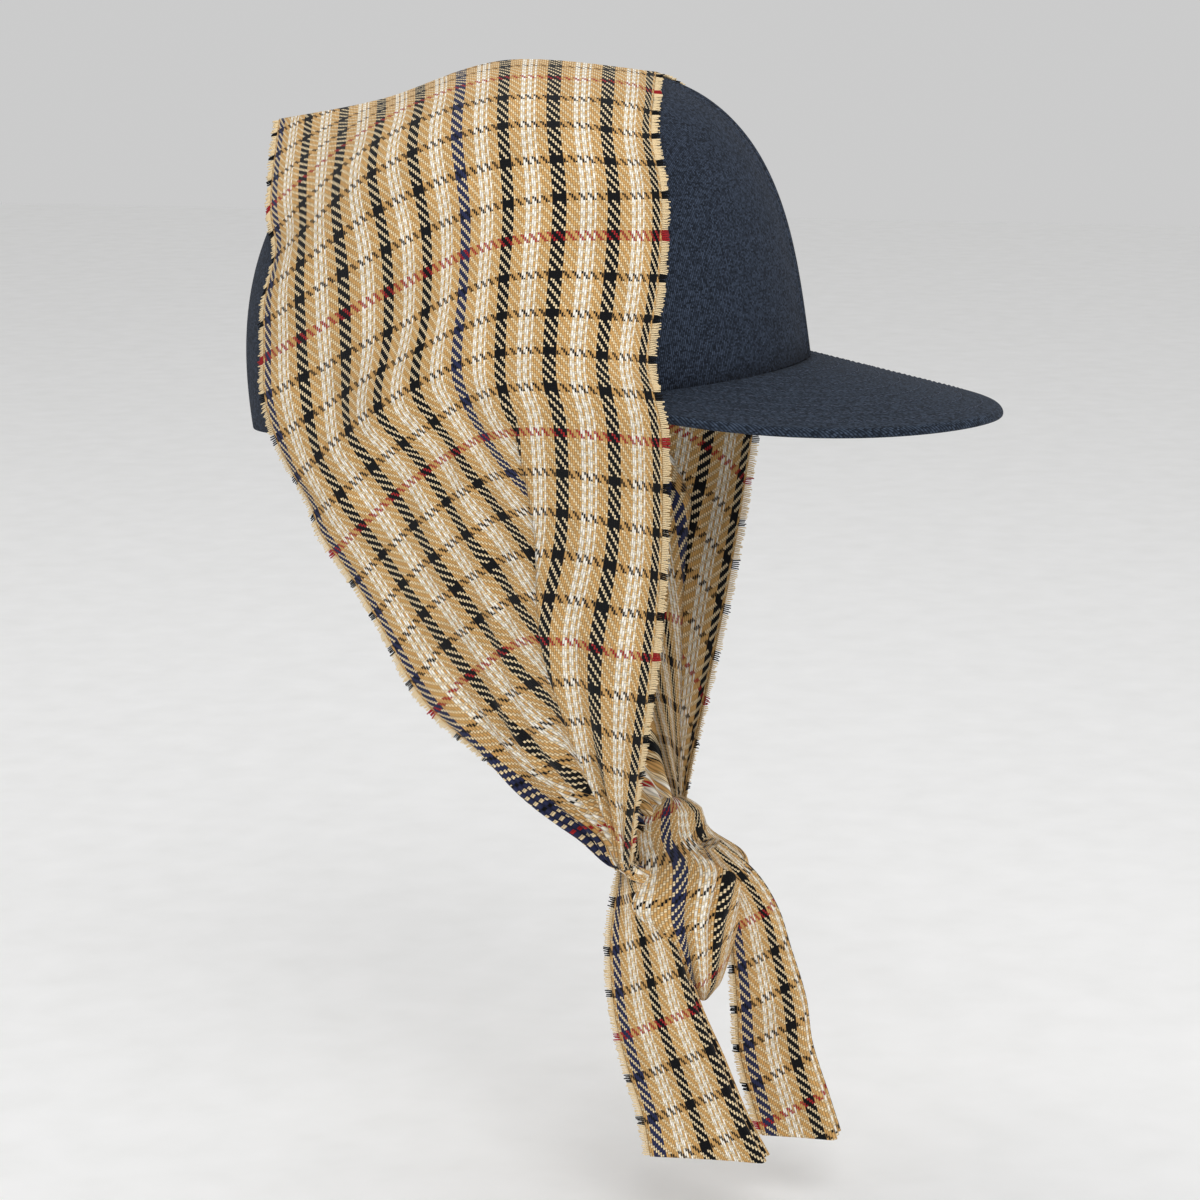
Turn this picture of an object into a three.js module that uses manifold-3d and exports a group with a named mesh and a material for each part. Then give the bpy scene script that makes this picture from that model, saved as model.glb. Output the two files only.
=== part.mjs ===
// A six-panel cap with a flat visor, and a check head scarf draped over it and tied under the chin.
// Millimetres, +Z up, the wearer looks along -Y and the wearer's right is -X.
// The origin is the centre of the head opening, in the plane of the crown's lower edge.
import * as THREE from 'three';
import { mergeVertices } from 'three/addons/utils/BufferGeometryUtils.js';
import Module from 'manifold-3d';

const wasm = await Module();
wasm.setup();

// Crown
const CROWN_HALF_WIDTH = 83;
const CROWN_HALF_LENGTH = 100.5;
const CROWN_HEIGHT = 110;
const CROWN_WALL = 2;
const FRONT_SQUARENESS = 3.2;
const BACK_SQUARENESS = 2.3;
const CAP_TILT = THREE.MathUtils.degToRad(8);
const PANEL_COUNT = 6;
const PANEL_ARC = (2 * Math.PI) / PANEL_COUNT;
const PANEL_STEPS_ACROSS = 8;
const PANEL_STEPS_UP = 10;
const EYELET_RADIUS = 2.2;
const EYELET_HEIGHT = 92;
const EYELET_SIDES = 12;

// Distance kept between neighbouring solids
const CLEARANCE = 0.3;

// Button, with the shank that closes the hole where the panels meet
const BUTTON_RADIUS = 8;
const BUTTON_HEIGHT = 3;
const SHANK_RADIUS = 3;

// Sweatband inside the rim
const BAND_HEIGHT = 30;
const BAND_WALL = 1.5;
const BAND_EASE = 0.45;
const BAND_STEPS = 48;

// Visor: it leaves the crown along a seam and ends in a rounded corner on each side
const BRIM_LENGTH = 67.5;
const BRIM_HALF_WIDTH = 92.8;
const BRIM_THICKNESS = 3.5;
const BRIM_SLOPE = THREE.MathUtils.degToRad(21);
const BRIM_ARCH = 17.4;
const BRIM_SEAM_RISE = 4.6;
const BRIM_CENTRE_BACK = 45;
const BRIM_CORNER_BACK = 60;
const BRIM_EDGE_SQUARENESS = 1.07;
const BRIM_SEAM_ARC = THREE.MathUtils.degToRad(64);
const BRIM_FRONT_ARC = THREE.MathUtils.degToRad(56);
const BRIM_STEPS_FRONT = 30;
const BRIM_STEPS_CORNER = 6;
const BRIM_STEPS_OUT = 2;

// Scarf
const SCARF_WALL = 2;
const KNOT_DROP = 197;
const STRIP_LIFT = 3;
const GATHER_WALL = 6;
const FAR_STRAND_FORWARD = 14;
const SCARF_EASE = 0.9;
const SCARF_STEPS_PER_ROW = 3;

// Knot and free ends
const KNOT_FORWARD = 35;
const KNOT_HALF_WIDTH = 18;
const KNOT_HALF_DEPTH = 16;
const KNOT_HALF_HEIGHT = 32;
const KNOT_PLEATS = 7;
const KNOT_PLEAT_DEPTH = 1.2;
const TAIL_LENGTH = 86;
const TAIL_WIDTH = 42;
const TAIL_TURN_RADIUS = 2.6;

const NAVY_TWILL = { color: 0x262b3a, roughness: 0.9, metalness: 0 };
const NAVY_BRIM = { color: 0x2e3342, roughness: 0.9, metalness: 0 };
const BLACK_COTTON = { color: 0x1c1e24, roughness: 0.85, metalness: 0 };
const CHECK_FLANNEL = { color: 0xc9a877, roughness: 0.95, metalness: 0 };

const mix = (a, b, t) => a + (b - a) * t;
const clamp01 = (t) => Math.min(1, Math.max(0, t));
const smooth = (t) => clamp01(t) ** 2 * (3 - 2 * clamp01(t));

function catmullRom(values, position) {
  const last = values.length - 1;
  const i = Math.min(last - 1, Math.floor(position));
  const t = position - i;
  const at = (k) => values[Math.min(last, Math.max(0, k))];
  const [a, b, c, d] = [at(i - 1), at(i), at(i + 1), at(i + 2)];
  return b + 0.5 * t * (c - a + t * (2 * a - 5 * b + 4 * c - d + t * (3 * (b - c) + d - a)));
}

// A closed indexed mesh from a list of points and a list of triangles.
function solid(points, triangles) {
  const geometry = new THREE.BufferGeometry();
  geometry.setAttribute('position', new THREE.Float32BufferAttribute(points.flat(), 3));
  geometry.setIndex(triangles.flat());
  const merged = mergeVertices(geometry, 1e-4);
  merged.computeVertexNormals();
  return merged;
}

// Skins a grid of rings (each row a closed loop of points) and closes both ends with a fan.
function loftRings(rings) {
  const count = rings[0].length;
  const points = rings.flat();
  const triangles = [];
  for (let r = 0; r + 1 < rings.length; r++) {
    for (let k = 0; k < count; k++) {
      const a = r * count + k;
      const b = r * count + ((k + 1) % count);
      triangles.push([a, b, b + count], [a, b + count, a + count]);
    }
  }
  const centre = (ring) => [0, 1, 2].map((axis) => ring.reduce((sum, p) => sum + p[axis], 0) / count);
  const start = points.length;
  points.push(centre(rings[0]), centre(rings[rings.length - 1]));
  const top = (rings.length - 1) * count;
  for (let k = 0; k < count; k++) {
    const next = (k + 1) % count;
    triangles.push([start, next, k], [start + 1, top + k, top + next]);
  }
  return solid(points, triangles);
}

// A closed wall between an outer and an inner grid of points. Seen from outside, rows go up and columns
// go to the right, or both go the other way.
function wallBetween(outer, inner) {
  const rows = outer.length;
  const columns = outer[0].length;
  const points = [...outer.flat(), ...inner.flat()];
  const back = rows * columns;
  const triangles = [];
  const quad = (a, b, c, d) => triangles.push([a, b, c], [a, c, d]);
  const at = (r, c) => r * columns + c;
  for (let r = 0; r + 1 < rows; r++) {
    for (let c = 0; c + 1 < columns; c++) {
      quad(at(r, c), at(r, c + 1), at(r + 1, c + 1), at(r + 1, c));
      quad(back + at(r, c), back + at(r + 1, c), back + at(r + 1, c + 1), back + at(r, c + 1));
    }
  }
  for (let r = 0; r + 1 < rows; r++) {
    const end = columns - 1;
    quad(at(r, 0), at(r + 1, 0), back + at(r + 1, 0), back + at(r, 0));
    quad(at(r, end), back + at(r, end), back + at(r + 1, end), at(r + 1, end));
  }
  for (let c = 0; c + 1 < columns; c++) {
    const end = rows - 1;
    quad(at(0, c), back + at(0, c), back + at(0, c + 1), at(0, c + 1));
    quad(at(end, c), at(end, c + 1), back + at(end, c + 1), back + at(end, c));
  }
  return solid(points, triangles);
}

// Gives a sheet of mid-surface points a wall, whose thickness may change from row to row.
function thicken(grid, wallOfRow) {
  const rows = grid.length;
  const columns = grid[0].length;
  const vector = (r, c) => new THREE.Vector3(...grid[r][c]);
  const offset = (side) => grid.map((row, r) => row.map((point, c) => {
    const along = vector(Math.min(r + 1, rows - 1), c).sub(vector(Math.max(r - 1, 0), c));
    const across = vector(r, Math.min(c + 1, columns - 1)).sub(vector(r, Math.max(c - 1, 0)));
    const normal = across.cross(along).normalize();
    const half = (side * wallOfRow(r)) / 2;
    return [point[0] + normal.x * half, point[1] + normal.y * half, point[2] + normal.z * half];
  }));
  return wallBetween(offset(1), offset(-1));
}

function toManifold(geometry) {
  const bare = geometry.clone();
  bare.deleteAttribute('normal');
  bare.deleteAttribute('uv');
  const merged = mergeVertices(bare, 1e-4);
  const vertProperties = new Float32Array(merged.attributes.position.array);
  const triVerts = new Uint32Array(merged.index.array);
  return new wasm.Manifold(new wasm.Mesh({ numProp: 3, vertProperties, triVerts }));
}

function fromManifold(body) {
  const mesh = body.getMesh();
  const geometry = new THREE.BufferGeometry();
  geometry.setAttribute('position', new THREE.BufferAttribute(new Float32Array(mesh.vertProperties), 3));
  geometry.setIndex(Array.from(mesh.triVerts));
  geometry.computeVertexNormals();
  return geometry;
}

const subtract = (geometry, tool) => fromManifold(toManifold(geometry).subtract(toManifold(tool)));

function named(name, geometry, finish) {
  const mesh = new THREE.Mesh(geometry, new THREE.MeshStandardMaterial(finish));
  mesh.name = name;
  return mesh;
}

// Crown surface: an upright superellipse swung around an elliptical plan, squarer in front than behind.
// The angle runs from 0 in front to the wearer's right; the climb runs from 0 at the rim to 1 on top.
function squareness(angle) {
  return mix(BACK_SQUARENESS, FRONT_SQUARENESS, (1 + Math.cos(angle)) / 2);
}

function crownPoint(angle, climb, inset) {
  const power = 2 / squareness(angle);
  const phi = (climb * Math.PI) / 2;
  const reach = Math.cos(phi) ** power;
  return [
    -(CROWN_HALF_WIDTH - inset) * reach * Math.sin(angle),
    -(CROWN_HALF_LENGTH - inset) * reach * Math.cos(angle),
    (CROWN_HEIGHT - inset) * Math.sin(phi) ** power,
  ];
}

function climbAtHeight(angle, height) {
  return Math.asin((height / CROWN_HEIGHT) ** (squareness(angle) / 2)) / (Math.PI / 2);
}

function crownPanel(startAngle) {
  const topReach = (SHANK_RADIUS + 2 * CLEARANCE) / (CROWN_HALF_WIDTH - CROWN_WALL);
  const skin = (inset) => {
    const rows = [];
    for (let r = 0; r <= PANEL_STEPS_UP; r++) {
      const row = [];
      for (let c = 0; c <= PANEL_STEPS_ACROSS; c++) {
        const middle = startAngle + PANEL_ARC / 2;
        const topClimb = Math.acos(topReach ** (squareness(middle) / 2)) / (Math.PI / 2);
        const climb = (r / PANEL_STEPS_UP) * topClimb;
        const reach = Math.cos((climb * Math.PI) / 2) ** (2 / squareness(middle));
        const seamGap = CLEARANCE / 2 / ((CROWN_HALF_WIDTH - CROWN_WALL) * reach);
        const angle = mix(startAngle + seamGap, startAngle + PANEL_ARC - seamGap, c / PANEL_STEPS_ACROSS);
        row.push(crownPoint(angle, climb, inset));
      }
      rows.push(row);
    }
    return rows;
  };
  const wall = wallBetween(skin(CROWN_WALL), skin(0));
  return subtract(wall, eyeletPunch(startAngle + PANEL_ARC / 2));
}

// A short round bar that stands square to the crown where a panel's eyelet is.
function eyeletPunch(angle) {
  const climb = climbAtHeight(angle, EYELET_HEIGHT);
  const step = 0.01;
  const here = new THREE.Vector3(...crownPoint(angle, climb, 0));
  const up = new THREE.Vector3(...crownPoint(angle, climb + step, 0)).sub(here);
  const round = new THREE.Vector3(...crownPoint(angle + step, climb, 0)).sub(here);
  const normal = up.cross(round).normalize();
  const bar = new THREE.CylinderGeometry(EYELET_RADIUS, EYELET_RADIUS, 6 * CROWN_WALL, EYELET_SIDES);
  bar.applyQuaternion(new THREE.Quaternion().setFromUnitVectors(new THREE.Vector3(0, 1, 0), normal));
  bar.translate(here.x, here.y, here.z);
  return bar;
}

function topButton() {
  const underside = CROWN_HEIGHT + CLEARANCE;
  const profile = [[0, CROWN_HEIGHT - CROWN_WALL], [SHANK_RADIUS, CROWN_HEIGHT - CROWN_WALL]];
  profile.push([SHANK_RADIUS, underside], [BUTTON_RADIUS, underside]);
  const steps = 5;
  for (let i = 1; i <= steps; i++) {
    const turn = ((i / steps) * Math.PI) / 2;
    profile.push([BUTTON_RADIUS * Math.cos(turn), underside + BUTTON_HEIGHT * Math.sin(turn)]);
  }
  profile[profile.length - 1][0] = 0;
  const lathe = new THREE.LatheGeometry(profile.map(([r, h]) => new THREE.Vector2(r, h)), 16);
  lathe.rotateX(Math.PI / 2);
  return fromManifold(toManifold(lathe));
}

function sweatband() {
  const outside = CROWN_WALL + CLEARANCE + BAND_EASE;
  const loop = (inset, height) => {
    const ring = [];
    for (let k = BAND_STEPS; k > 0; k--) {
      const angle = (k / BAND_STEPS) * 2 * Math.PI;
      const [x, y] = crownPoint(angle, climbAtHeight(angle, height), inset);
      ring.push([x, y, height]);
    }
    return ring;
  };
  const sleeve = (inset) => toManifold(loftRings([loop(inset, 0), loop(inset, BAND_HEIGHT)]));
  return fromManifold(sleeve(outside).subtract(sleeve(outside + BAND_WALL)));
}

// Visor, built as a ruled sheet between the crown seam and the outer edge.
function brimSeam(angle) {
  return [
    -(CROWN_HALF_WIDTH + CLEARANCE) * Math.sin(angle),
    -(CROWN_HALF_LENGTH + CLEARANCE) * Math.cos(angle),
    BRIM_SEAM_RISE * (1 - Math.cos(angle)),
  ];
}

function brimEdgeHeight(x, y) {
  return -Math.tan(BRIM_SLOPE) * (-y - CROWN_HALF_LENGTH) - BRIM_ARCH * (x / BRIM_HALF_WIDTH) ** 2;
}

function brimOutline() {
  const reach = CROWN_HALF_LENGTH + BRIM_LENGTH - BRIM_CENTRE_BACK;
  const share = (BRIM_CORNER_BACK - BRIM_CENTRE_BACK) / reach;
  const lastTurn = Math.acos(share ** (1 / BRIM_EDGE_SQUARENESS));
  const cornerX = BRIM_HALF_WIDTH * Math.sin(lastTurn) ** BRIM_EDGE_SQUARENESS;
  const seamEnd = brimSeam(BRIM_SEAM_ARC);
  const right = [];
  for (let i = 0; i <= BRIM_STEPS_FRONT / 2; i++) {
    const portion = i / (BRIM_STEPS_FRONT / 2);
    const turn = portion * lastTurn;
    const x = -BRIM_HALF_WIDTH * Math.sin(turn) ** BRIM_EDGE_SQUARENESS;
    const y = -BRIM_CENTRE_BACK - reach * Math.cos(turn) ** BRIM_EDGE_SQUARENESS;
    right.push({ edge: [x, y], seam: portion * BRIM_FRONT_ARC });
  }
  for (let i = 1; i <= BRIM_STEPS_CORNER; i++) {
    const portion = i / BRIM_STEPS_CORNER;
    const turn = (portion * Math.PI) / 2.3;
    const x = seamEnd[0] - (cornerX + seamEnd[0]) * Math.cos(turn);
    const y = -BRIM_CORNER_BACK + (seamEnd[1] + BRIM_CORNER_BACK) * Math.sin(turn);
    right.push({ edge: [x, y], seam: mix(BRIM_FRONT_ARC, BRIM_SEAM_ARC, portion) });
  }
  const left = right.slice(1).map(({ edge, seam }) => ({ edge: [-edge[0], edge[1]], seam: -seam }));
  return [...left.reverse(), ...right];
}

function brim() {
  const top = brimOutline().map(({ edge, seam }) => {
    const inner = brimSeam(seam);
    const outer = [edge[0], edge[1], brimEdgeHeight(edge[0], edge[1])];
    const row = [];
    for (let k = 0; k <= BRIM_STEPS_OUT; k++) {
      row.push(inner.map((value, axis) => mix(value, outer[axis], k / BRIM_STEPS_OUT)));
    }
    return row;
  });
  const under = top.map((row) => row.map(([x, y, z]) => [x, y, z - BRIM_THICKNESS]));
  return wallBetween(under, top);
}

// Scarf: each row is a section of the cloth, from the ridge over the crown down to the gather at the knot.
// "strip" says how far the front strip lies over the cloth behind it. Then come the section's front edge,
// the crease behind that strip, its side and its rear edge, each as [out, back, up] shares of the crown's
// half width, half length and height. Below the rim, "up" is a share of the knot's drop.
const SCARF_LINES = ['front', 'crease', 'side', 'rear'];
const SCARF_SECTIONS = [
  // strip, front out, back, up, crease out, back, up, side out, back, up, rear out, back, up
  [0.0,  0.00, -0.61,  0.96,   0.00, -0.08,  1.06,   0.00,  0.39,  0.99,   0.00,  0.78,  0.97],
  [0.0,  0.27, -0.64,  0.91,   0.41, -0.15,  1.01,   0.53,  0.28,  0.93,   0.49,  0.73,  0.71],
  [0.0,  0.56, -0.66,  0.78,   0.74, -0.19,  0.87,   0.81,  0.27,  0.78,   0.63,  0.70,  0.55],
  [0.0,  0.70, -0.69,  0.60,   0.93, -0.21,  0.64,   0.97,  0.22,  0.55,   0.72,  0.76,  0.36],
  [0.0,  0.79, -0.66,  0.36,   1.02, -0.18,  0.43,   1.03,  0.24,  0.31,   0.82,  0.76,  0.14],
  [0.0,  0.98, -0.62,  0.13,   1.06, -0.14,  0.21,   1.05,  0.31,  0.09,   0.83,  0.70, -0.07],
  [0.1,  1.12, -0.65,  0.03,   1.06, -0.13,  0.10,   1.02,  0.25, -0.02,   0.82,  0.65, -0.14],
  [0.4,  1.15, -0.66, -0.06,   1.04, -0.15, -0.02,   0.99,  0.19, -0.07,   0.81,  0.61, -0.21],
  [0.9,  1.00, -0.58, -0.26,   0.93, -0.15, -0.20,   0.80,  0.22, -0.26,   0.65,  0.51, -0.37],
  [1.0,  0.83, -0.47, -0.45,   0.80, -0.09, -0.40,   0.58,  0.18, -0.45,   0.48,  0.42, -0.54],
  [1.0,  0.60, -0.33, -0.65,   0.60, -0.11, -0.60,   0.42,  0.11, -0.64,   0.30,  0.25, -0.68],
  [0.7,  0.34, -0.20, -0.83,   0.36, -0.15, -0.79,   0.24, -0.07, -0.80,   0.17,  0.06, -0.81],
  [0.2,  0.18, -0.16, -0.91,   0.22, -0.15, -0.89,   0.16, -0.12, -0.89,   0.11, -0.07, -0.88],
  [0.0,  0.06, -0.30, -0.95,   0.07, -0.29, -0.94,   0.05, -0.28, -0.94,   0.03, -0.27, -0.93],
];
// Where the section is sampled between its lines: 0 is the front edge, 1 the crease, 3 the rear edge.
const CREASE_LINE = 1;
// Rows at which the far strand begins to come forward, the wall begins to thicken, and both have ended.
const FORWARD_ROW = 8;
const THICKEN_ROW = 9;
const GATHER_ROW = 12;
const SCARF_SAMPLES = [0, 0.2, 0.4, 0.6, 0.8, 0.93, 1, 1.08, 1.3, 1.6, 1.9, 2.2, 2.5, 2.75, 3];

function scarfSectionPoints(section) {
  const [, ...shares] = section;
  return SCARF_LINES.map((line, k) => {
    const [out, back, up] = shares.slice(3 * k, 3 * k + 3);
    const height = up * (up > 0 ? CROWN_HEIGHT : KNOT_DROP);
    return [-out * CROWN_HALF_WIDTH, back * CROWN_HALF_LENGTH, height];
  });
}

// Pushes a point of the cloth out of the crown and off the top button.
function clearOfCap([x, y, z]) {
  const overButton = smooth(1.6 - Math.hypot(x, y) / (2 * BUTTON_RADIUS));
  const gap = SCARF_WALL / 2 + SCARF_EASE;
  const lift = gap + overButton * (BUTTON_HEIGHT + CLEARANCE);
  const power = squareness(Math.atan2(Math.abs(x) / CROWN_HALF_WIDTH, -y / CROWN_HALF_LENGTH));
  const reach = Math.hypot(x / (CROWN_HALF_WIDTH + gap), y / (CROWN_HALF_LENGTH + gap));
  const fill = (reach ** power + (Math.max(z, 0) / (CROWN_HEIGHT + lift)) ** power) ** (1 / power);
  const push = z > 0 && fill < 1 ? 1 / fill : 1;
  return [x * push, y * push, z * push];
}

// Mid-surface of the cloth on the wearer's right, one row of points for each step down from the ridge.
function scarfSide() {
  const lines = SCARF_SECTIONS.map(scarfSectionPoints);
  const steps = (SCARF_SECTIONS.length - 1) * SCARF_STEPS_PER_ROW;
  const rows = [];
  for (let i = 0; i <= steps; i++) {
    const position = i / SCARF_STEPS_PER_ROW;
    const strip = clamp01(catmullRom(SCARF_SECTIONS.map((section) => section[0]), position));
    const along = SCARF_LINES.map((line, k) => [0, 1, 2].map(
      (axis) => catmullRom(lines.map((points) => points[k][axis]), position)));
    rows.push(SCARF_SAMPLES.map((sample) => {
      const point = [0, 1, 2].map((axis) => catmullRom(along.map((p) => p[axis]), sample));
      const lift = sample <= CREASE_LINE ? STRIP_LIFT * strip * smooth(sample / CREASE_LINE) : 0;
      return clearOfCap([point[0] - lift, point[1], point[2]]);
    }));
  }
  return rows;
}

// The far side mirrors the near one, but its last stretch comes forward to pass in front of the knot.
function scarfDrape() {
  const right = scarfSide();
  const last = right.length - 1;
  const nearKnot = (row, from) => (row / SCARF_STEPS_PER_ROW - from) / (GATHER_ROW - from);
  const left = right.slice(1).map((row, i) => {
    const forward = FAR_STRAND_FORWARD * clamp01(nearKnot(i + 1, FORWARD_ROW)) ** 1.5;
    return row.map(([x, y, z]) => [-x, y - forward, z]);
  });
  const wallOfRow = (r) => mix(SCARF_WALL, GATHER_WALL, smooth(nearKnot(Math.abs(r - last), THICKEN_ROW)));
  return thicken([...left.reverse(), ...right], wallOfRow);
}

// Knot: gathered cloth that comes down from the wearer's left and turns under at the bottom. The rows run
// from top to bottom, as shares of the knot's half height, half depth and half width.
const KNOT_SECTIONS = [
  // up, right, forward, depth, width
  [1.06, -1.69, -0.89, 0.45, 0.58],
  [0.73, -1.13, -0.74, 0.70, 0.76],
  [0.53, -0.50, -0.27, 0.95, 1.07],
  [0.32, 0.00, -0.13, 1.00, 1.03],
  [0.02, 0.19, -0.09, 1.00, 0.90],
  [-0.34, 0.31, 0.06, 0.80, 0.61],
  [-0.74, 0.38, 0.17, 0.50, 0.34],
  [-1.00, 0.38, 0.20, 0.15, 0.10],
];

function knotBody(margin) {
  const around = 4 * KNOT_PLEATS;
  const steps = 2 * (KNOT_SECTIONS.length - 1);
  const rings = [];
  for (let i = steps; i >= 0; i--) {
    const position = (i / steps) * (KNOT_SECTIONS.length - 1);
    const column = (k) => catmullRom(KNOT_SECTIONS.map((section) => section[k]), position);
    const centre = [-column(1) * KNOT_HALF_DEPTH, -column(2) * KNOT_HALF_WIDTH];
    const height = column(0) * (KNOT_HALF_HEIGHT + margin);
    const ring = [];
    for (let k = 0; k < around; k++) {
      const turn = (k / around) * 2 * Math.PI;
      const pleat = KNOT_PLEAT_DEPTH * column(4) * Math.cos(KNOT_PLEATS * turn);
      const depth = column(3) * KNOT_HALF_DEPTH + pleat + margin;
      const width = column(4) * KNOT_HALF_WIDTH + pleat + margin;
      ring.push([centre[0] + depth * Math.cos(turn), centre[1] + width * Math.sin(turn), height]);
    }
    rings.push(ring);
  }
  return loftRings(rings);
}

// Tails: cloth folded in three across its width. The rows run down from the knot's middle, as shares of
// the tail's length and, for the last column, of its folded width.
const TAIL_RIGHT_SECTIONS = [
  // down, right, forward, width
  [-0.08, 0.10, -0.25, 0.34],
  [0.11, 0.19, -0.19, 0.58],
  [0.38, 0.21, -0.14, 0.75],
  [0.60, 0.23, -0.06, 0.85],
  [0.83, 0.25, 0.03, 0.90],
  [1.00, 0.28, 0.10, 1.04],
];
const TAIL_LEFT_SECTIONS = [
  // down, right, forward, width
  [-0.14, -0.06, 0.15, 0.35],
  [0.02, -0.08, 0.22, 0.42],
  [0.20, -0.09, 0.26, 0.48],
  [0.42, -0.10, 0.30, 0.58],
  [0.63, -0.11, 0.32, 0.62],
  [0.85, -0.12, 0.38, 0.66],
  [1.02, -0.13, 0.43, 0.68],
];
const TAIL_LAYERS = 3;
const TAIL_STEPS_DOWN = 10;

// Points across a cloth folded in layers: straight runs joined by half-round turns.
function foldedSection(width, radius) {
  const run = width / 2 - radius;
  const turnSteps = 4;
  const points = [];
  for (let layer = 0; layer < TAIL_LAYERS; layer++) {
    const way = layer % 2 === 0 ? 1 : -1;
    const depth = (TAIL_LAYERS - 1 - 2 * layer) * radius;
    points.push([-way * run, depth], [0, depth]);
    if (layer === TAIL_LAYERS - 1) {
      points.push([way * run, depth]);
      continue;
    }
    for (let k = 0; k < turnSteps; k++) {
      const turn = (k / turnSteps) * Math.PI;
      points.push([way * (run + radius * Math.sin(turn)), depth - radius * (1 - Math.cos(turn))]);
    }
  }
  return points;
}

function tail(sections) {
  const grid = [];
  for (let i = 0; i <= TAIL_STEPS_DOWN; i++) {
    const position = (i / TAIL_STEPS_DOWN) * (sections.length - 1);
    const column = (k) => catmullRom(sections.map((section) => section[k]), position);
    const folded = foldedSection(column(3) * TAIL_WIDTH, TAIL_TURN_RADIUS);
    grid.push(folded.map(([across, depth]) => [
      -column(1) * TAIL_LENGTH - depth,
      -column(2) * TAIL_LENGTH - across,
      -column(0) * TAIL_LENGTH,
    ]));
  }
  return thicken(grid, () => SCARF_WALL);
}

// Keeps the largest body left after the knot, with its clearance, has been cut away.
function cutByKnot(geometry, knotTool) {
  const rest = toManifold(geometry).subtract(toManifold(knotTool));
  const pieces = rest.decompose().sort((a, b) => b.volume() - a.volume());
  return fromManifold(pieces[0]);
}

const part = new THREE.Group();
const cap = new THREE.Group();
cap.rotation.x = -CAP_TILT;
part.add(cap);

const PANELS = [
  ['crown_front_right', 0],
  ['crown_side_right', 1],
  ['crown_back_right', 2],
  ['crown_back_left', 3],
  ['crown_side_left', 4],
  ['crown_front_left', 5],
];
for (const [name, place] of PANELS) {
  cap.add(named(name, crownPanel(place * PANEL_ARC), NAVY_TWILL));
}
cap.add(named('top_button', topButton(), NAVY_TWILL));
cap.add(named('brim', brim(), NAVY_BRIM));
cap.add(named('sweatband', sweatband(), BLACK_COTTON));

// The knot and the tails hang plumb, so their group undoes the cap's tilt.
const hanging = new THREE.Group();
hanging.position.set(0, -KNOT_FORWARD, -KNOT_DROP);
hanging.rotation.x = CAP_TILT;
cap.add(hanging);
hanging.updateMatrix();

const knotTool = knotBody(CLEARANCE);
const knotToolInCap = knotTool.clone().applyMatrix4(hanging.matrix);
hanging.add(named('scarf_knot', knotBody(0), CHECK_FLANNEL));
hanging.add(named('scarf_tail_right', cutByKnot(tail(TAIL_RIGHT_SECTIONS), knotTool), CHECK_FLANNEL));
hanging.add(named('scarf_tail_left', cutByKnot(tail(TAIL_LEFT_SECTIONS), knotTool), CHECK_FLANNEL));
cap.add(named('scarf_drape', cutByKnot(scarfDrape(), knotToolInCap), CHECK_FLANNEL));

export default part;
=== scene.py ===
import math

import bpy
import mathutils
import numpy as np
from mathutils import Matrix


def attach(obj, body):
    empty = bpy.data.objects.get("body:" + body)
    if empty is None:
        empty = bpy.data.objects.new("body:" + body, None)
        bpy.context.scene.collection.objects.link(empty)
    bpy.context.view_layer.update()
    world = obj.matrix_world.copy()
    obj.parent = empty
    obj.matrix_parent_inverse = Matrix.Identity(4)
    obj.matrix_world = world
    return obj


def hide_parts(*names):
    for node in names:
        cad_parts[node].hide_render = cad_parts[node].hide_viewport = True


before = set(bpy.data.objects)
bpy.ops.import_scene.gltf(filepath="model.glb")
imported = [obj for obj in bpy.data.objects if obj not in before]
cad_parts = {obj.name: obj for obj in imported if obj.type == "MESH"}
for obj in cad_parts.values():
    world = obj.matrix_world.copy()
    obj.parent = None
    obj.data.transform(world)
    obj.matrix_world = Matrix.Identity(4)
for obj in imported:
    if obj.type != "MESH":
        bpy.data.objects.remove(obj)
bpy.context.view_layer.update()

bl_info = {
    "name": "Flat-brim cap with a check head scarf",
    "version": (1, 0, 0),
    "blender": (4, 5, 0),
    "location": "3D View > Sidebar > Cap",
    "description": "A navy six-panel cap, and a check flannel scarf draped over it and tied under the chin",
    "category": "Add Mesh",
}

MM = 0.001

# Sizes in metres. The solids have most of them too. The wearer looks along -Y, and the wearer's right is -X.
CROWN_HALF_WIDTH = 83 * MM
CROWN_HALF_LENGTH = 100.5 * MM
CROWN_HEIGHT = 110 * MM
FRONT_SQUARENESS = 3.2
BACK_SQUARENESS = 2.3
CAP_TILT = math.radians(8)
PANEL_ARC = math.radians(60)
PANELS = {
    "crown_front_right": 0,
    "crown_side_right": 1,
    "crown_back_right": 2,
    "crown_back_left": 3,
    "crown_side_left": 4,
    "crown_front_left": 5,
}
EYELET_HEIGHT = 92 * MM
EYELET_RADIUS = 2.2 * MM
EYELET_TURNS = 34
SEAM_GAP = 0.3 * MM
# How a panel is drawn in at its seams and stands up beside them, and how far its stitches lie from the seam.
SEAM_DIP = 1.1 * MM
SEAM_DIP_REACH = 1.5 * MM
SEAM_PUFF = 0.5 * MM
SEAM_PUFF_REACH = 2 * MM
SEAM_STITCH_INSET = 3 * MM
PANEL_CLOTH = 1.6 * MM
SHANK_RADIUS = 3 * MM
BUTTON_RADIUS = 8 * MM
BUTTON_HEIGHT = 3 * MM

BRIM_LENGTH = 67.5 * MM
BRIM_HALF_WIDTH = 92.8 * MM
BRIM_THICKNESS = 3.5 * MM
BRIM_SLOPE = math.radians(21)
BRIM_ARCH = 17.4 * MM
BRIM_SEAM_RISE = 4.6 * MM
BRIM_CENTRE_BACK = 45 * MM
BRIM_CORNER_BACK = 60 * MM
BRIM_EDGE_SQUARENESS = 1.07
BRIM_SEAM_ARC = math.radians(64)
BRIM_FRONT_ARC = math.radians(56)

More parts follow.
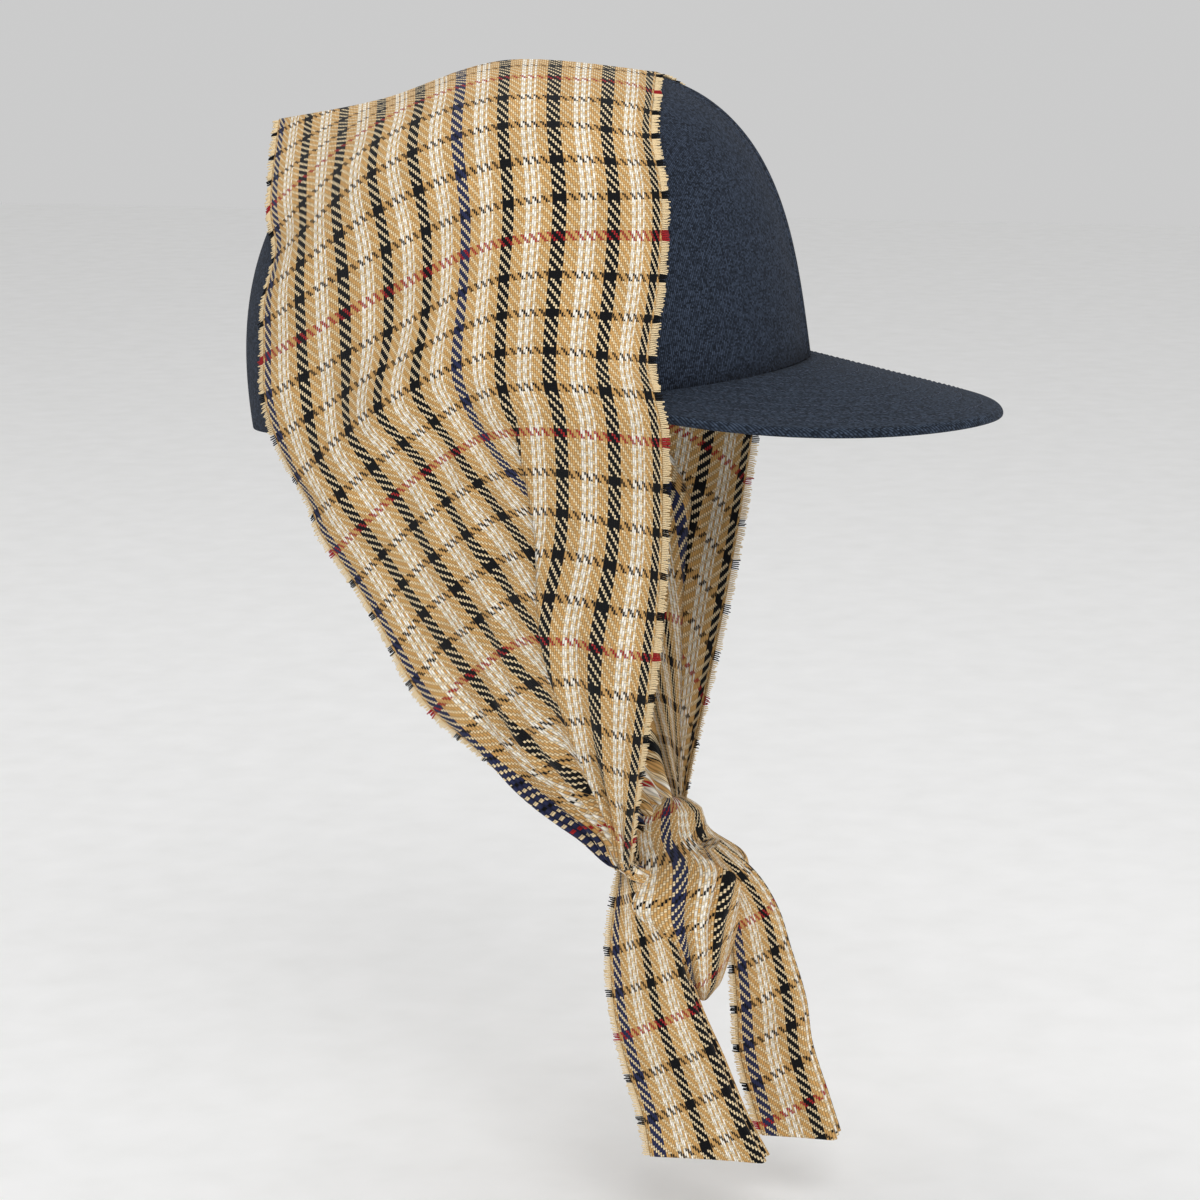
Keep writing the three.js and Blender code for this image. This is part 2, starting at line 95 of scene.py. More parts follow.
KNOT_DROP = 197 * MM
KNOT_FORWARD = 35 * MM
KNOT_HALF_WIDTH = 18 * MM
KNOT_HALF_DEPTH = 16 * MM
KNOT_HALF_HEIGHT = 32 * MM
STRIP_LIFT = 3 * MM
CLOTH_EASE = 0.9 * MM
FAR_STRAND_FORWARD = 14 * MM
TAIL_LENGTH = 86 * MM
TAIL_WIDTH = 42 * MM
# Pleats that gather towards the knot, the ripple of the rear edge, the knot's own fold and lobe, how much
# more cloth the knot holds than its size, and the waves of the tails, all along them and at the knot.
PLEAT_HEIGHT = 1.6 * MM
RIPPLE_HEIGHT = 1.3 * MM
KNOT_FOLD_DEPTH = 6.5 * MM
KNOT_LOBE_HEIGHT = 6.0 * MM
KNOT_CLOTH_SHARE = 1.35
TAIL_WAVE = 0.9 * MM
TAIL_GATHER = 1.4 * MM
# How many layers the cloth's full width makes in each tail, and how tightly it turns from one to the next.
TAIL_LAYERS = {"right": 4, "left": 6}
TAIL_TURN_RADIUS = {"right": 1.75 * MM, "left": 1.15 * MM}
HIDDEN_EDGE_SHARE = 0.7

# Sections of the scarf from the ridge over the crown down to the knot. Each row holds the lift of the front
# strip, then [out, back, up] for the front edge, the crease, the side and the rear edge, as shares of the
# crown's half width, half length and height. Below the rim, "up" is a share of the knot's drop.
SCARF_SECTIONS = np.array([
    # strip, front out, back, up, crease out, back, up, side out, back, up, rear out, back, up
    [0.0, 0.00, -0.61, 0.96, 0.00, -0.08, 1.06, 0.00, 0.39, 0.99, 0.00, 0.78, 0.97],
    [0.0, 0.27, -0.64, 0.91, 0.41, -0.15, 1.01, 0.53, 0.28, 0.93, 0.49, 0.73, 0.71],
    [0.0, 0.56, -0.66, 0.78, 0.74, -0.19, 0.87, 0.81, 0.27, 0.78, 0.63, 0.70, 0.55],
    [0.0, 0.70, -0.69, 0.60, 0.93, -0.21, 0.64, 0.97, 0.22, 0.55, 0.72, 0.76, 0.36],
    [0.0, 0.79, -0.66, 0.36, 1.02, -0.18, 0.43, 1.03, 0.24, 0.31, 0.82, 0.76, 0.14],
    [0.0, 0.98, -0.62, 0.13, 1.06, -0.14, 0.21, 1.05, 0.31, 0.09, 0.83, 0.70, -0.07],
    [0.1, 1.12, -0.65, 0.03, 1.06, -0.13, 0.10, 1.02, 0.25, -0.02, 0.82, 0.65, -0.14],
    [0.4, 1.15, -0.66, -0.06, 1.04, -0.15, -0.02, 0.99, 0.19, -0.07, 0.81, 0.61, -0.21],
    [0.9, 1.00, -0.58, -0.26, 0.93, -0.15, -0.20, 0.80, 0.22, -0.26, 0.65, 0.51, -0.37],
    [1.0, 0.83, -0.47, -0.45, 0.80, -0.09, -0.40, 0.58, 0.18, -0.45, 0.48, 0.42, -0.54],
    [1.0, 0.60, -0.33, -0.65, 0.60, -0.11, -0.60, 0.42, 0.11, -0.64, 0.30, 0.25, -0.68],
    [0.7, 0.34, -0.20, -0.83, 0.36, -0.15, -0.79, 0.24, -0.07, -0.80, 0.17, 0.06, -0.81],
    [0.2, 0.18, -0.16, -0.91, 0.22, -0.15, -0.89, 0.16, -0.12, -0.89, 0.11, -0.07, -0.88],
    [0.0, 0.06, -0.30, -0.95, 0.07, -0.29, -0.94, 0.05, -0.28, -0.94, 0.03, -0.27, -0.93],
])
# The same sections in the cloth: the weft row that lies there at the front and the rear edge, counted in bars
# of the check, and how far the crease, the cloth that comes out from under it and the side lie from the
# front edge, in stripes of the check.
SCARF_CLOTH = np.array([
    # row at front, row at rear, crease, out from under, side
    [-6.2, -8.6, 3.2, 3.2, 6.2],
    [-5.0, -5.0, 3.2, 3.2, 6.2],
    [-3.0, -3.0, 3.2, 3.2, 6.2],
    [-1.0, -1.0, 3.2, 3.2, 6.2],
    [1.0, 1.0, 3.2, 3.2, 6.2],
    [3.0, 3.0, 3.2, 3.2, 6.2],
    [4.0, 4.0, 3.2, 3.2, 6.2],
    [5.0, 5.0, 3.2, 3.3, 6.2],
    [7.5, 7.5, 2.8, 4.7, 7.2],
    [10.0, 10.0, 2.3, 6.2, 7.8],
    [12.5, 12.5, 1.9, 7.4, 8.5],
    [15.0, 15.0, 1.5, 8.4, 8.9],
    [16.2, 16.2, 1.5, 8.6, 9.0],
    [17.6, 17.6, 1.5, 8.7, 9.1],
])
# The far strand comes forward from one of these rows to the other, as the cloth gathers.
FORWARD_ROW = 8
GATHER_ROW = 12
# Distances that one row and one sample of the sections stand for, in the table of folds.
ROW_MM = 15
SAMPLE_MM = 45

# Knot, from top to bottom, as shares of its half height, half depth and half width.
KNOT_SECTIONS = np.array([
    # up, right, forward, depth, width
    [1.06, -1.69, -0.89, 0.45, 0.58],
    [0.73, -1.13, -0.74, 0.70, 0.76],
    [0.53, -0.50, -0.27, 0.95, 1.07],
    [0.32, 0.00, -0.13, 1.00, 1.03],
    [0.02, 0.19, -0.09, 1.00, 0.90],
    [-0.34, 0.31, 0.06, 0.80, 0.61],
    [-0.74, 0.38, 0.17, 0.50, 0.34],
    [-1.00, 0.38, 0.20, 0.15, 0.10],
])
# Tails, from the knot down, as shares of the tail's length and folded width.
TAIL_SECTIONS = {
    "right": np.array([
        # down, right, forward, width
        [-0.20, 0.07, -0.29, 0.14],
        [-0.06, 0.13, -0.25, 0.36],
        [0.11, 0.19, -0.20, 0.60],
        [0.38, 0.21, -0.14, 0.75],
        [0.60, 0.23, -0.06, 0.85],
        [0.83, 0.25, 0.03, 0.90],
        [1.00, 0.28, 0.10, 1.04],
    ]),
    "left": np.array([
        # down, right, forward, width
        [-0.28, -0.03, 0.05, 0.14],
        [-0.14, -0.06, 0.15, 0.33],
        [0.02, -0.08, 0.22, 0.42],
        [0.20, -0.09, 0.26, 0.48],
        [0.42, -0.10, 0.30, 0.58],
        [0.63, -0.11, 0.32, 0.62],
        [0.85, -0.12, 0.38, 0.66],
        [1.02, -0.13, 0.43, 0.68],
    ]),
}

# The check, in repeats: half of a stripe, half of a bar, and how far camel reaches from a stripe's middle.
# Every fifth stripe is navy, and every fifth bar red.
STRIPE_HALF_SHARE = 0.125
BAR_HALF_SHARE = 0.1
CAMEL_HALF_SHARE = 0.33
OVERCHECK_TURN = 5.0
NAVY_STRIPE = 4.0
RED_BAR = 0.0
# How many of four weft threads the warp passes over, and the grain and relief of sewing thread.
WARP_FLOAT = 2.4
THREAD_GRAIN = 2500
THREAD_RELIEF = 0.05 * MM

# Camera, from the crown's outline and the visor's edge: where it looks, how far it stands, and its frame.
CAMERA_TARGET = (0.0, -0.030, -0.070)
CAMERA_AZIMUTH = math.radians(-78)
CAMERA_ELEVATION = math.radians(11)
CAMERA_DISTANCE = 1.3
CAMERA_PX_PER_M = 2760.0
TARGET_PX = (611.8, 582.7)
IMAGE_PX = 1200
SENSOR_MM = 36.0


def linear(hex_colour):
    """An sRGB hex colour as linear red, green and blue."""
    channels = [int(hex_colour[i:i + 2], 16) / 255 for i in (0, 2, 4)]
    return tuple(c / 12.92 if c <= 0.04045 else ((c + 0.055) / 1.055) ** 2.4 for c in channels)


def colour(name, hex_colour):
    """A colour property whose default is an sRGB hex colour."""
    return bpy.props.FloatVectorProperty(
        name=name, description=f"Colour of {name.lower()}", subtype="COLOR", size=3, min=0, max=1,
        default=linear(hex_colour))


def length(name, description, millimetres):
    """A length property whose default is given in millimetres."""
    return bpy.props.FloatProperty(
        name=name, description=description, default=millimetres * MM, min=0, precision=5,
        subtype="DISTANCE", unit="LENGTH")


class CapFinish(bpy.types.PropertyGroup):
    # The pale twill colours go onto the rib crests as painted highlight, and onto flecks as the yarn's own
    # colour.
    twill_dark: colour("Twill ground", "0F141C")
    twill_light: colour("Twill rib highlight and flecks", "444F62")
    brim_dark: colour("Visor twill ground", "0D131C")
    brim_light: colour("Visor rib highlight and flecks", "434F61")
    thread: colour("Sewing thread", "515C73")
    eyelet_thread: colour("Eyelet thread", "33475A")
    lining: colour("Sweatband cotton", "1C1E24")
    rib_pitch: length("Rib pitch", "Distance from rib to rib of the twill", 0.7)
    stitch_pitch: length("Stitch pitch", "Distance from stitch to stitch", 3.2)
    stitch_length: length("Stitch length", "Length of one stitch", 2.3)
    thread_radius: length("Thread radius", "Half the thickness of the sewing thread", 0.28)
    hem_height: length("Hem height", "Height of the hem stitches over the rim", 5.5)
    brim_row_pitch: length("Visor row pitch", "Distance from row to row of the visor's stitches", 7.5)


class ScarfFinish(bpy.types.PropertyGroup):
    camel: colour("Camel yarn", "CFA264")
    light_camel: colour("Light camel yarn", "F0D9AE")
    cream: colour("Cream yarn", "FBF4E6")
    black: colour("Black yarn", "0D0E11")
    navy: colour("Navy yarn", "2B3050")
    red: colour("Red yarn", "A8262A")
    cloth_width: length("Cloth width", "Woven width of the scarf, without its fringe", 156.5)
    cloth_wall: length("Cloth thickness", "Thickness of the flannel", 1.3)
    warp_pitch: length("Warp pitch", "Distance from thread to thread along the scarf", 16.6 / 24)
    weft_pitch: length("Weft pitch", "Distance from thread to thread across the scarf", 14.8 / 15)
    stripe_pitch: length("Stripe pitch", "Distance from stripe to stripe of the check", 16.6)
    bar_pitch: length("Bar pitch", "Distance from bar to bar of the check", 14.8)
    first_stripe: length("First stripe", "Distance of the first stripe from the front edge", 3.5)
    fringe_pitch: length("Fringe pitch", "Distance from one frayed thread to the next", 0.62)
    fringe_length: length("Fringe length", "Length of the frayed threads", 3.4)
    yarn_radius: length("Yarn radius", "Half the thickness of a frayed thread", 0.32)
    fringe_seed: bpy.props.IntProperty(name="Fringe seed", description="Seed of the frayed threads' spread",
                                       default=7, min=0)


def smooth(t):
    """A smooth step from 0 to 1."""
    t = np.clip(t, 0, 1)
    return t * t * (3 - 2 * t)


def catmull_rom(values, position):
    """A smooth curve through rows of values, at one or many positions counted in rows."""
    values = np.asarray(values, float)
    position = np.clip(np.asarray(position, float), 0, len(values) - 1)
    start = np.minimum(len(values) - 2, np.floor(position).astype(int))
    t = (position - start).reshape(position.shape + (1,) * (values.ndim - 1))
    row = [values[np.clip(start + k, 0, len(values) - 1)] for k in (-1, 0, 1, 2)]
    a, b, c, d = row
    return b + 0.5 * t * (c - a + t * (2 * a - 5 * b + 4 * c - d + t * (3 * (b - c) + d - a)))


def tilted(points, angle=-CAP_TILT, origin=(0, 0, 0)):
    """Points turned about X by an angle, then moved. Without an origin this is the cap's own tilt."""
    turned = np.array(points, float)
    y, z = turned[..., 1].copy(), turned[..., 2].copy()
    turned[..., 1] = y * math.cos(angle) - z * math.sin(angle)
    turned[..., 2] = y * math.sin(angle) + z * math.cos(angle)
    return turned + np.array(origin)


def hanging(points):
    """Points of the plumb parts, given from the middle of the knot, in the row frame."""
    middle = tilted(np.array([0, -KNOT_FORWARD, -KNOT_DROP]))
    return np.asarray(points) + middle


def squareness(angle):
    """How square the crown's upright outline is at an angle from the front."""
    share = (1 + np.cos(angle)) / 2
    return BACK_SQUARENESS + (FRONT_SQUARENESS - BACK_SQUARENESS) * share


def crown_point(angle, climb, outset=0.0):
    """A point of the crown in the cap's own frame, moved outwards by outset."""
    power = 2 / squareness(angle)
    phi = climb * math.pi / 2
    reach = np.cos(phi) ** power
    return np.stack([
        -(CROWN_HALF_WIDTH + outset) * reach * np.sin(angle),
        -(CROWN_HALF_LENGTH + outset) * reach * np.cos(angle),
        (CROWN_HEIGHT + outset) * np.sin(phi) ** power,
    ], axis=-1)


def climb_at_height(angle, height):
    """The climb at which the crown reaches a height."""
    return np.arcsin((height / CROWN_HEIGHT) ** (squareness(angle) / 2)) / (math.pi / 2)


def deselect():
    """Nothing is selected, so that the next operator acts on its own piece."""
    bpy.ops.object.select_all(action="DESELECT")


def choose(piece):
    """The piece alone is selected and active."""
    deselect()
    piece.select_set(True)
    bpy.context.view_layer.objects.active = piece


def sheet_of(name, points, uv):
    """A grid primitive shaped to rows and columns of points, with its UV map in metres of cloth."""
    rows, columns = points.shape[:2]
    deselect()
    bpy.ops.mesh.primitive_grid_add(x_subdivisions=columns - 1, y_subdivisions=rows - 1, size=1)
    piece = bpy.context.object
    piece.name = piece.data.name = name
    piece.data.vertices.foreach_set("co", np.ascontiguousarray(points, np.float32).ravel())
    corners = np.empty(len(piece.data.loops), np.int32)
    piece.data.loops.foreach_get("vertex_index", corners)
    cloth = np.ascontiguousarray(uv, np.float32).reshape(-1, 2)[corners]
    piece.data.uv_layers.active.data.foreach_set("uv", cloth.ravel())
    piece.data.update()
    bpy.ops.object.shade_smooth()
    return piece


def thicken(piece, thickness, offset=0.0):
    """Gives a sheet its wall. An offset of -1 keeps the outer face where the sheet was."""
    choose(piece)
    wall = piece.modifiers.new("wall", "SOLIDIFY")
    wall.thickness = thickness
    wall.offset = offset
    wall.use_rim = True
    bpy.ops.object.modifier_apply(modifier=wall.name)


def tubes(name, lines, radii, sides=4, uv=None):
    """One mesh of many short threads. lines holds a row of points for each thread."""
    count, rings = lines.shape[:2]
    along = np.gradient(lines, axis=1)
    along /= np.linalg.norm(along, axis=2, keepdims=True) + 1e-12
    across = np.cross(along, [0.31, 0.87, 0.38])
    across /= np.linalg.norm(across, axis=2, keepdims=True) + 1e-12
    upright = np.cross(along, across)
    turn = np.arange(sides) * 2 * math.pi / sides
    spread = (across[:, :, None] * np.cos(turn)[:, None] + upright[:, :, None] * np.sin(turn)[:, None])
    points = lines[:, :, None] + spread * np.broadcast_to(radii, (count, rings))[:, :, None, None]
    ring, side = np.meshgrid(np.arange(rings - 1), np.arange(sides), indexing="ij")
    following = (side + 1) % sides
    quads = np.stack([ring * sides + side, ring * sides + following,
                      (ring + 1) * sides + following, (ring + 1) * sides + side], -1).reshape(-1, 4)
    faces = (quads[None] + (np.arange(count) * rings * sides)[:, None, None]).reshape(-1, 4)
    ends = [np.arange(sides)[::-1], (rings - 1) * sides + np.arange(sides)]
    caps = np.concatenate([end[None] + (np.arange(count) * rings * sides)[:, None] for end in ends])
    mesh = bpy.data.meshes.new(name)
    mesh.from_pydata(points.reshape(-1, 3).tolist(), [], faces.tolist() + caps.tolist())
    if uv is not None:
        layer = mesh.uv_layers.new(name="cloth")
        corners = np.empty(len(mesh.loops), np.int32)
        mesh.loops.foreach_get("vertex_index", corners)
        layer.data.foreach_set("uv", np.repeat(uv, rings * sides, axis=0)[corners].astype(np.float32).ravel())
    piece = bpy.data.objects.new(name, mesh)
    bpy.context.collection.objects.link(piece)
    choose(piece)
    bpy.ops.object.shade_smooth()
    return piece


def finish(piece, material, slot, *nodes):
    """Gives a piece its material and its place in the frame; the slot argument is not used."""
    piece.data.materials.clear()
    piece.data.materials.append(material)
    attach(piece, "root")
    if nodes:
        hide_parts(*nodes)


def node(tree, kind, inputs=None, **settings):
    """Adds a node with its settings. An input is a value or another node's output."""
    added = tree.nodes.new(kind)
    for name, value in settings.items():
        setattr(added, name, value)
    for name, value in (inputs or {}).items():
        if isinstance(value, bpy.types.NodeSocket):
            tree.links.new(value, added.inputs[name])
        else:
            wants_four = getattr(added.inputs[name], "type", "") == "RGBA" and len(value) == 3
            added.inputs[name].default_value = (*value, 1) if wants_four else value
    return added


def cloth_material(name, **shader):
    """A material with a fabric shader and a bump node. The caller links colour and height."""
    made = bpy.data.materials.new(name)
    made.use_nodes = True
    tree = made.node_tree
    tree.nodes.clear()
    bump = node(tree, "ShaderNodeBump", {"Strength": 1.0})
    surface = node(tree, "ShaderNodeBsdfPrincipled", {"Normal": bump.outputs[0], **shader})
    node(tree, "ShaderNodeOutputMaterial", {"Surface": surface.outputs[0]})
    return made, tree, surface, bump


def weft_yarn_colour(tree, weft_thread, settings):
    """The colour of each weft thread: light camel, or the black or red of the bar that it lies in."""
    bar_place = node(tree, "ShaderNodeMath", {
        0: weft_thread,
        1: settings.weft_pitch / settings.bar_pitch,
        2: settings.weft_pitch / 2 / settings.bar_pitch,
    }, operation="MULTIPLY_ADD").outputs[0]
    bar = node(tree, "ShaderNodeMath", {0: bar_place}, operation="ROUND").outputs[0]
    from_bar = node(tree, "ShaderNodeMath", {0: bar_place, 1: bar}, operation="SUBTRACT").outputs[0]
    on_bar = node(tree, "ShaderNodeMath", {0: from_bar, 1: 0.0, 2: BAR_HALF_SHARE},
                  operation="COMPARE").outputs[0]
    bar_turn = node(tree, "ShaderNodeMath", {0: bar, 1: OVERCHECK_TURN},
                    operation="FLOORED_MODULO").outputs[0]
    red_turn = node(tree, "ShaderNodeMath", {0: bar_turn, 1: RED_BAR, 2: 0.5}, operation="COMPARE").outputs[0]
    bar_yarn = node(tree, "ShaderNodeMix", {"Factor": red_turn, 6: settings.black, 7: settings.red},
                    data_type="RGBA").outputs[2]
    return node(tree, "ShaderNodeMix", {"Factor": on_bar, 6: settings.light_camel, 7: bar_yarn},
                data_type="RGBA").outputs[2]


def wool_flannel_check(settings):
    """Wool flannel, a 2/2 twill of coloured yarns, brushed. It gives the eye short diagonal dashes where a
    stripe crosses the ground, solid squares where stripe meets bar, and a matt, slightly fuzzy surface."""
    made, tree, surface, bump = cloth_material("wool_flannel_twill_check", **{
        "Roughness": 0.95, "Sheen Weight": 0.08, "Sheen Roughness": 0.6, "Specular IOR Level": 0.1})
    cloth = node(tree, "ShaderNodeSeparateXYZ", {0: node(tree, "ShaderNodeUVMap").outputs[0]})
    across, along = cloth.outputs[0], cloth.outputs[1]
    warp = node(tree, "ShaderNodeMath", {0: across, 1: settings.warp_pitch}, operation="DIVIDE").outputs[0]
    weft = node(tree, "ShaderNodeMath", {0: along, 1: settings.weft_pitch}, operation="DIVIDE").outputs[0]
    warp_thread = node(tree, "ShaderNodeMath", {0: warp}, operation="FLOOR").outputs[0]
    weft_thread = node(tree, "ShaderNodeMath", {0: weft}, operation="FLOOR").outputs[0]

    # Distance of each warp thread from the middle of its stripe, in repeats of the check. Beyond the camel
    # beside each stripe, two threads of three are cream.
    stripe_place = node(tree, "ShaderNodeMath", {
        0: warp_thread,
        1: settings.warp_pitch / settings.stripe_pitch,
        2: (settings.warp_pitch / 2 - settings.first_stripe) / settings.stripe_pitch,
    }, operation="MULTIPLY_ADD").outputs[0]
    stripe = node(tree, "ShaderNodeMath", {0: stripe_place}, operation="ROUND").outputs[0]
    from_stripe = node(tree, "ShaderNodeMath", {0: stripe_place, 1: stripe}, operation="SUBTRACT").outputs[0]
    on_stripe = node(tree, "ShaderNodeMath", {0: from_stripe, 1: 0.0, 2: STRIPE_HALF_SHARE},
                     operation="COMPARE").outputs[0]
    near_stripe = node(tree, "ShaderNodeMath", {0: from_stripe, 1: 0.0, 2: CAMEL_HALF_SHARE},
                       operation="COMPARE").outputs[0]
    thread_turn = node(tree, "ShaderNodeMath", {0: warp_thread, 1: 3.0},
                       operation="FLOORED_MODULO").outputs[0]
    camel_thread = node(tree, "ShaderNodeMath", {0: thread_turn, 1: 1.5},
                        operation="GREATER_THAN").outputs[0]
    on_ground = node(tree, "ShaderNodeMath", {0: near_stripe, 1: camel_thread},
                     operation="MAXIMUM").outputs[0]

    stripe_turn = node(tree, "ShaderNodeMath", {0: stripe, 1: OVERCHECK_TURN},
                       operation="FLOORED_MODULO").outputs[0]
    navy_turn = node(tree, "ShaderNodeMath", {0: stripe_turn, 1: NAVY_STRIPE, 2: 0.5},
                     operation="COMPARE").outputs[0]
    stripe_yarn = node(tree, "ShaderNodeMix", {"Factor": navy_turn, 6: settings.black, 7: settings.navy},
                       data_type="RGBA").outputs[2]
    ground_yarn = node(tree, "ShaderNodeMix", {"Factor": on_ground, 6: settings.cream, 7: settings.camel},
                       data_type="RGBA").outputs[2]
    warp_yarn = node(tree, "ShaderNodeMix", {"Factor": on_stripe, 6: ground_yarn, 7: stripe_yarn},
                     data_type="RGBA").outputs[2]
    weft_yarn = weft_yarn_colour(tree, weft_thread, settings)

    # A 2/2 twill: each thread passes over two and under two, one step on in each row. The warp is fuller,
    # so that the weft shows as dots between its threads.
    step = node(tree, "ShaderNodeMath", {0: warp_thread, 1: weft}, operation="ADD").outputs[0]
    turn = node(tree, "ShaderNodeMath", {0: step, 1: 4.0}, operation="FLOORED_MODULO").outputs[0]
    warp_round = node(tree, "ShaderNodeMath", {0: warp, 1: 0.5}, operation="PINGPONG").outputs[0]
    weft_round = node(tree, "ShaderNodeMath", {0: weft, 1: 0.5}, operation="PINGPONG").outputs[0]
    warp_float = node(tree, "ShaderNodeMath", {0: turn, 1: WARP_FLOAT}, operation="LESS_THAN").outputs[0]
    beside = node(tree, "ShaderNodeMath", {0: warp_round, 1: 0.14}, operation="LESS_THAN").outputs[0]
    warp_over = node(tree, "ShaderNodeMath", {0: warp_float, 1: beside}, operation="MAXIMUM").outputs[0]
    from_middle = node(tree, "ShaderNodeMath", {0: turn, 1: 1.15}, operation="SUBTRACT").outputs[0]
    past_middle = node(tree, "ShaderNodeMath", {0: from_middle}, operation="ABSOLUTE").outputs[0]
    from_dip = node(tree, "ShaderNodeMath", {0: past_middle, 1: 1.15}, operation="SUBTRACT").outputs[0]
    dip_distance = node(tree, "ShaderNodeMath", {0: from_dip}, operation="ABSOLUTE").outputs[0]
    surfaced = node(tree, "ShaderNodeMath", {0: dip_distance, 1: 2.0}, operation="MULTIPLY",
                    use_clamp=True).outputs[0]
    woven = node(tree, "ShaderNodeMix", {"Factor": warp_over, 6: weft_yarn, 7: warp_yarn},
                 data_type="RGBA").outputs[2]

    # Each thread is round, and its colour is darkened between threads and where it dives under, as painted
    # shade; no two have quite the same dye.
    rounded = node(tree, "ShaderNodeMix", {"Factor": warp_over, "A": weft_round, "B": warp_round}).outputs[0]
    bulge = node(tree, "ShaderNodeMath", {0: rounded, 1: 0.5}, operation="POWER").outputs[0]
    arched = node(tree, "ShaderNodeMath", {0: surfaced, 1: 0.5, 2: 0.5}, operation="MULTIPLY_ADD").outputs[0]
    thread_height = node(tree, "ShaderNodeMath", {0: bulge, 1: arched}, operation="MULTIPLY").outputs[0]
    place = node(tree, "ShaderNodeCombineXYZ", {0: warp_thread, 1: weft_thread}).outputs[0]
    uneven = node(tree, "ShaderNodeTexWhiteNoise", {0: place}, noise_dimensions="2D").outputs[0]
    spot = node(tree, "ShaderNodeTexCoord").outputs["Object"]
    mottle = node(tree, "ShaderNodeTexNoise", {"Vector": spot, "Scale": 60.0, "Detail": 3.0}).outputs[0]
    fuzz = node(tree, "ShaderNodeTexNoise", {"Vector": spot, "Scale": 1600.0, "Detail": 2.0}).outputs[0]
    # Painted shade: the colour darkens where the thread's height falls, between threads and at the ends of
    # floats.
    shade = node(tree, "ShaderNodeMath", {0: thread_height, 1: 1.15, 2: 0.38},
                 operation="MULTIPLY_ADD").outputs[0]
    unevenness = node(tree, "ShaderNodeMath", {0: uneven, 1: 0.2, 2: 0.9},
                      operation="MULTIPLY_ADD").outputs[0]
    cloudiness = node(tree, "ShaderNodeMath", {0: mottle, 1: 0.3, 2: 0.85},
                      operation="MULTIPLY_ADD").outputs[0]
    shade = node(tree, "ShaderNodeMath", {0: shade, 1: unevenness}, operation="MULTIPLY").outputs[0]
    shade = node(tree, "ShaderNodeMath", {0: shade, 1: cloudiness}, operation="MULTIPLY").outputs[0]
    # Yarn colour times the painted shade, the uneven dye and the mottle.
    shaded_uneven_yarn = node(tree, "ShaderNodeVectorMath", {0: woven, "Scale": shade}, operation="SCALE").outputs[0]
    height = node(tree, "ShaderNodeMath", {0: fuzz, 1: 0.4, 2: thread_height},
                  operation="MULTIPLY_ADD").outputs[0]
    tree.links.new(shaded_uneven_yarn, surface.inputs["Base Color"])
    tree.links.new(height, bump.inputs["Height"])
    bump.inputs["Distance"].default_value = 0.16 * MM
    return made


def frayed_weft(settings):
    """Bare weft yarn at the raw edges: the colour of the bar that it leaves, loosely spun and matt."""
    made, tree, surface, bump = cloth_material("wool_yarn_frayed_weft", **{
        "Roughness": 0.95, "Sheen Weight": 0.08, "Specular IOR Level": 0.1})
    cloth = node(tree, "ShaderNodeSeparateXYZ", {0: node(tree, "ShaderNodeUVMap").outputs[0]})
    weft = node(tree, "ShaderNodeMath", {0: cloth.outputs[1], 1: settings.weft_pitch},
                operation="DIVIDE").outputs[0]
    thread = node(tree, "ShaderNodeMath", {0: weft}, operation="FLOOR").outputs[0]
    yarn = weft_yarn_colour(tree, thread, settings)
    spot = node(tree, "ShaderNodeTexCoord").outputs["Object"]
    spun = node(tree, "ShaderNodeTexNoise", {"Vector": spot, "Scale": 2200.0, "Detail": 2.0}).outputs[0]
    shade = node(tree, "ShaderNodeMath", {0: spun, 1: 0.5, 2: 0.75}, operation="MULTIPLY_ADD").outputs[0]
    shaded_uneven_yarn = node(tree, "ShaderNodeVectorMath", {0: yarn, "Scale": shade}, operation="SCALE").outputs[0]
    tree.links.new(shaded_uneven_yarn, surface.inputs["Base Color"])
    tree.links.new(spun, bump.inputs["Height"])
    bump.inputs["Distance"].default_value = 0.08 * MM
    return made


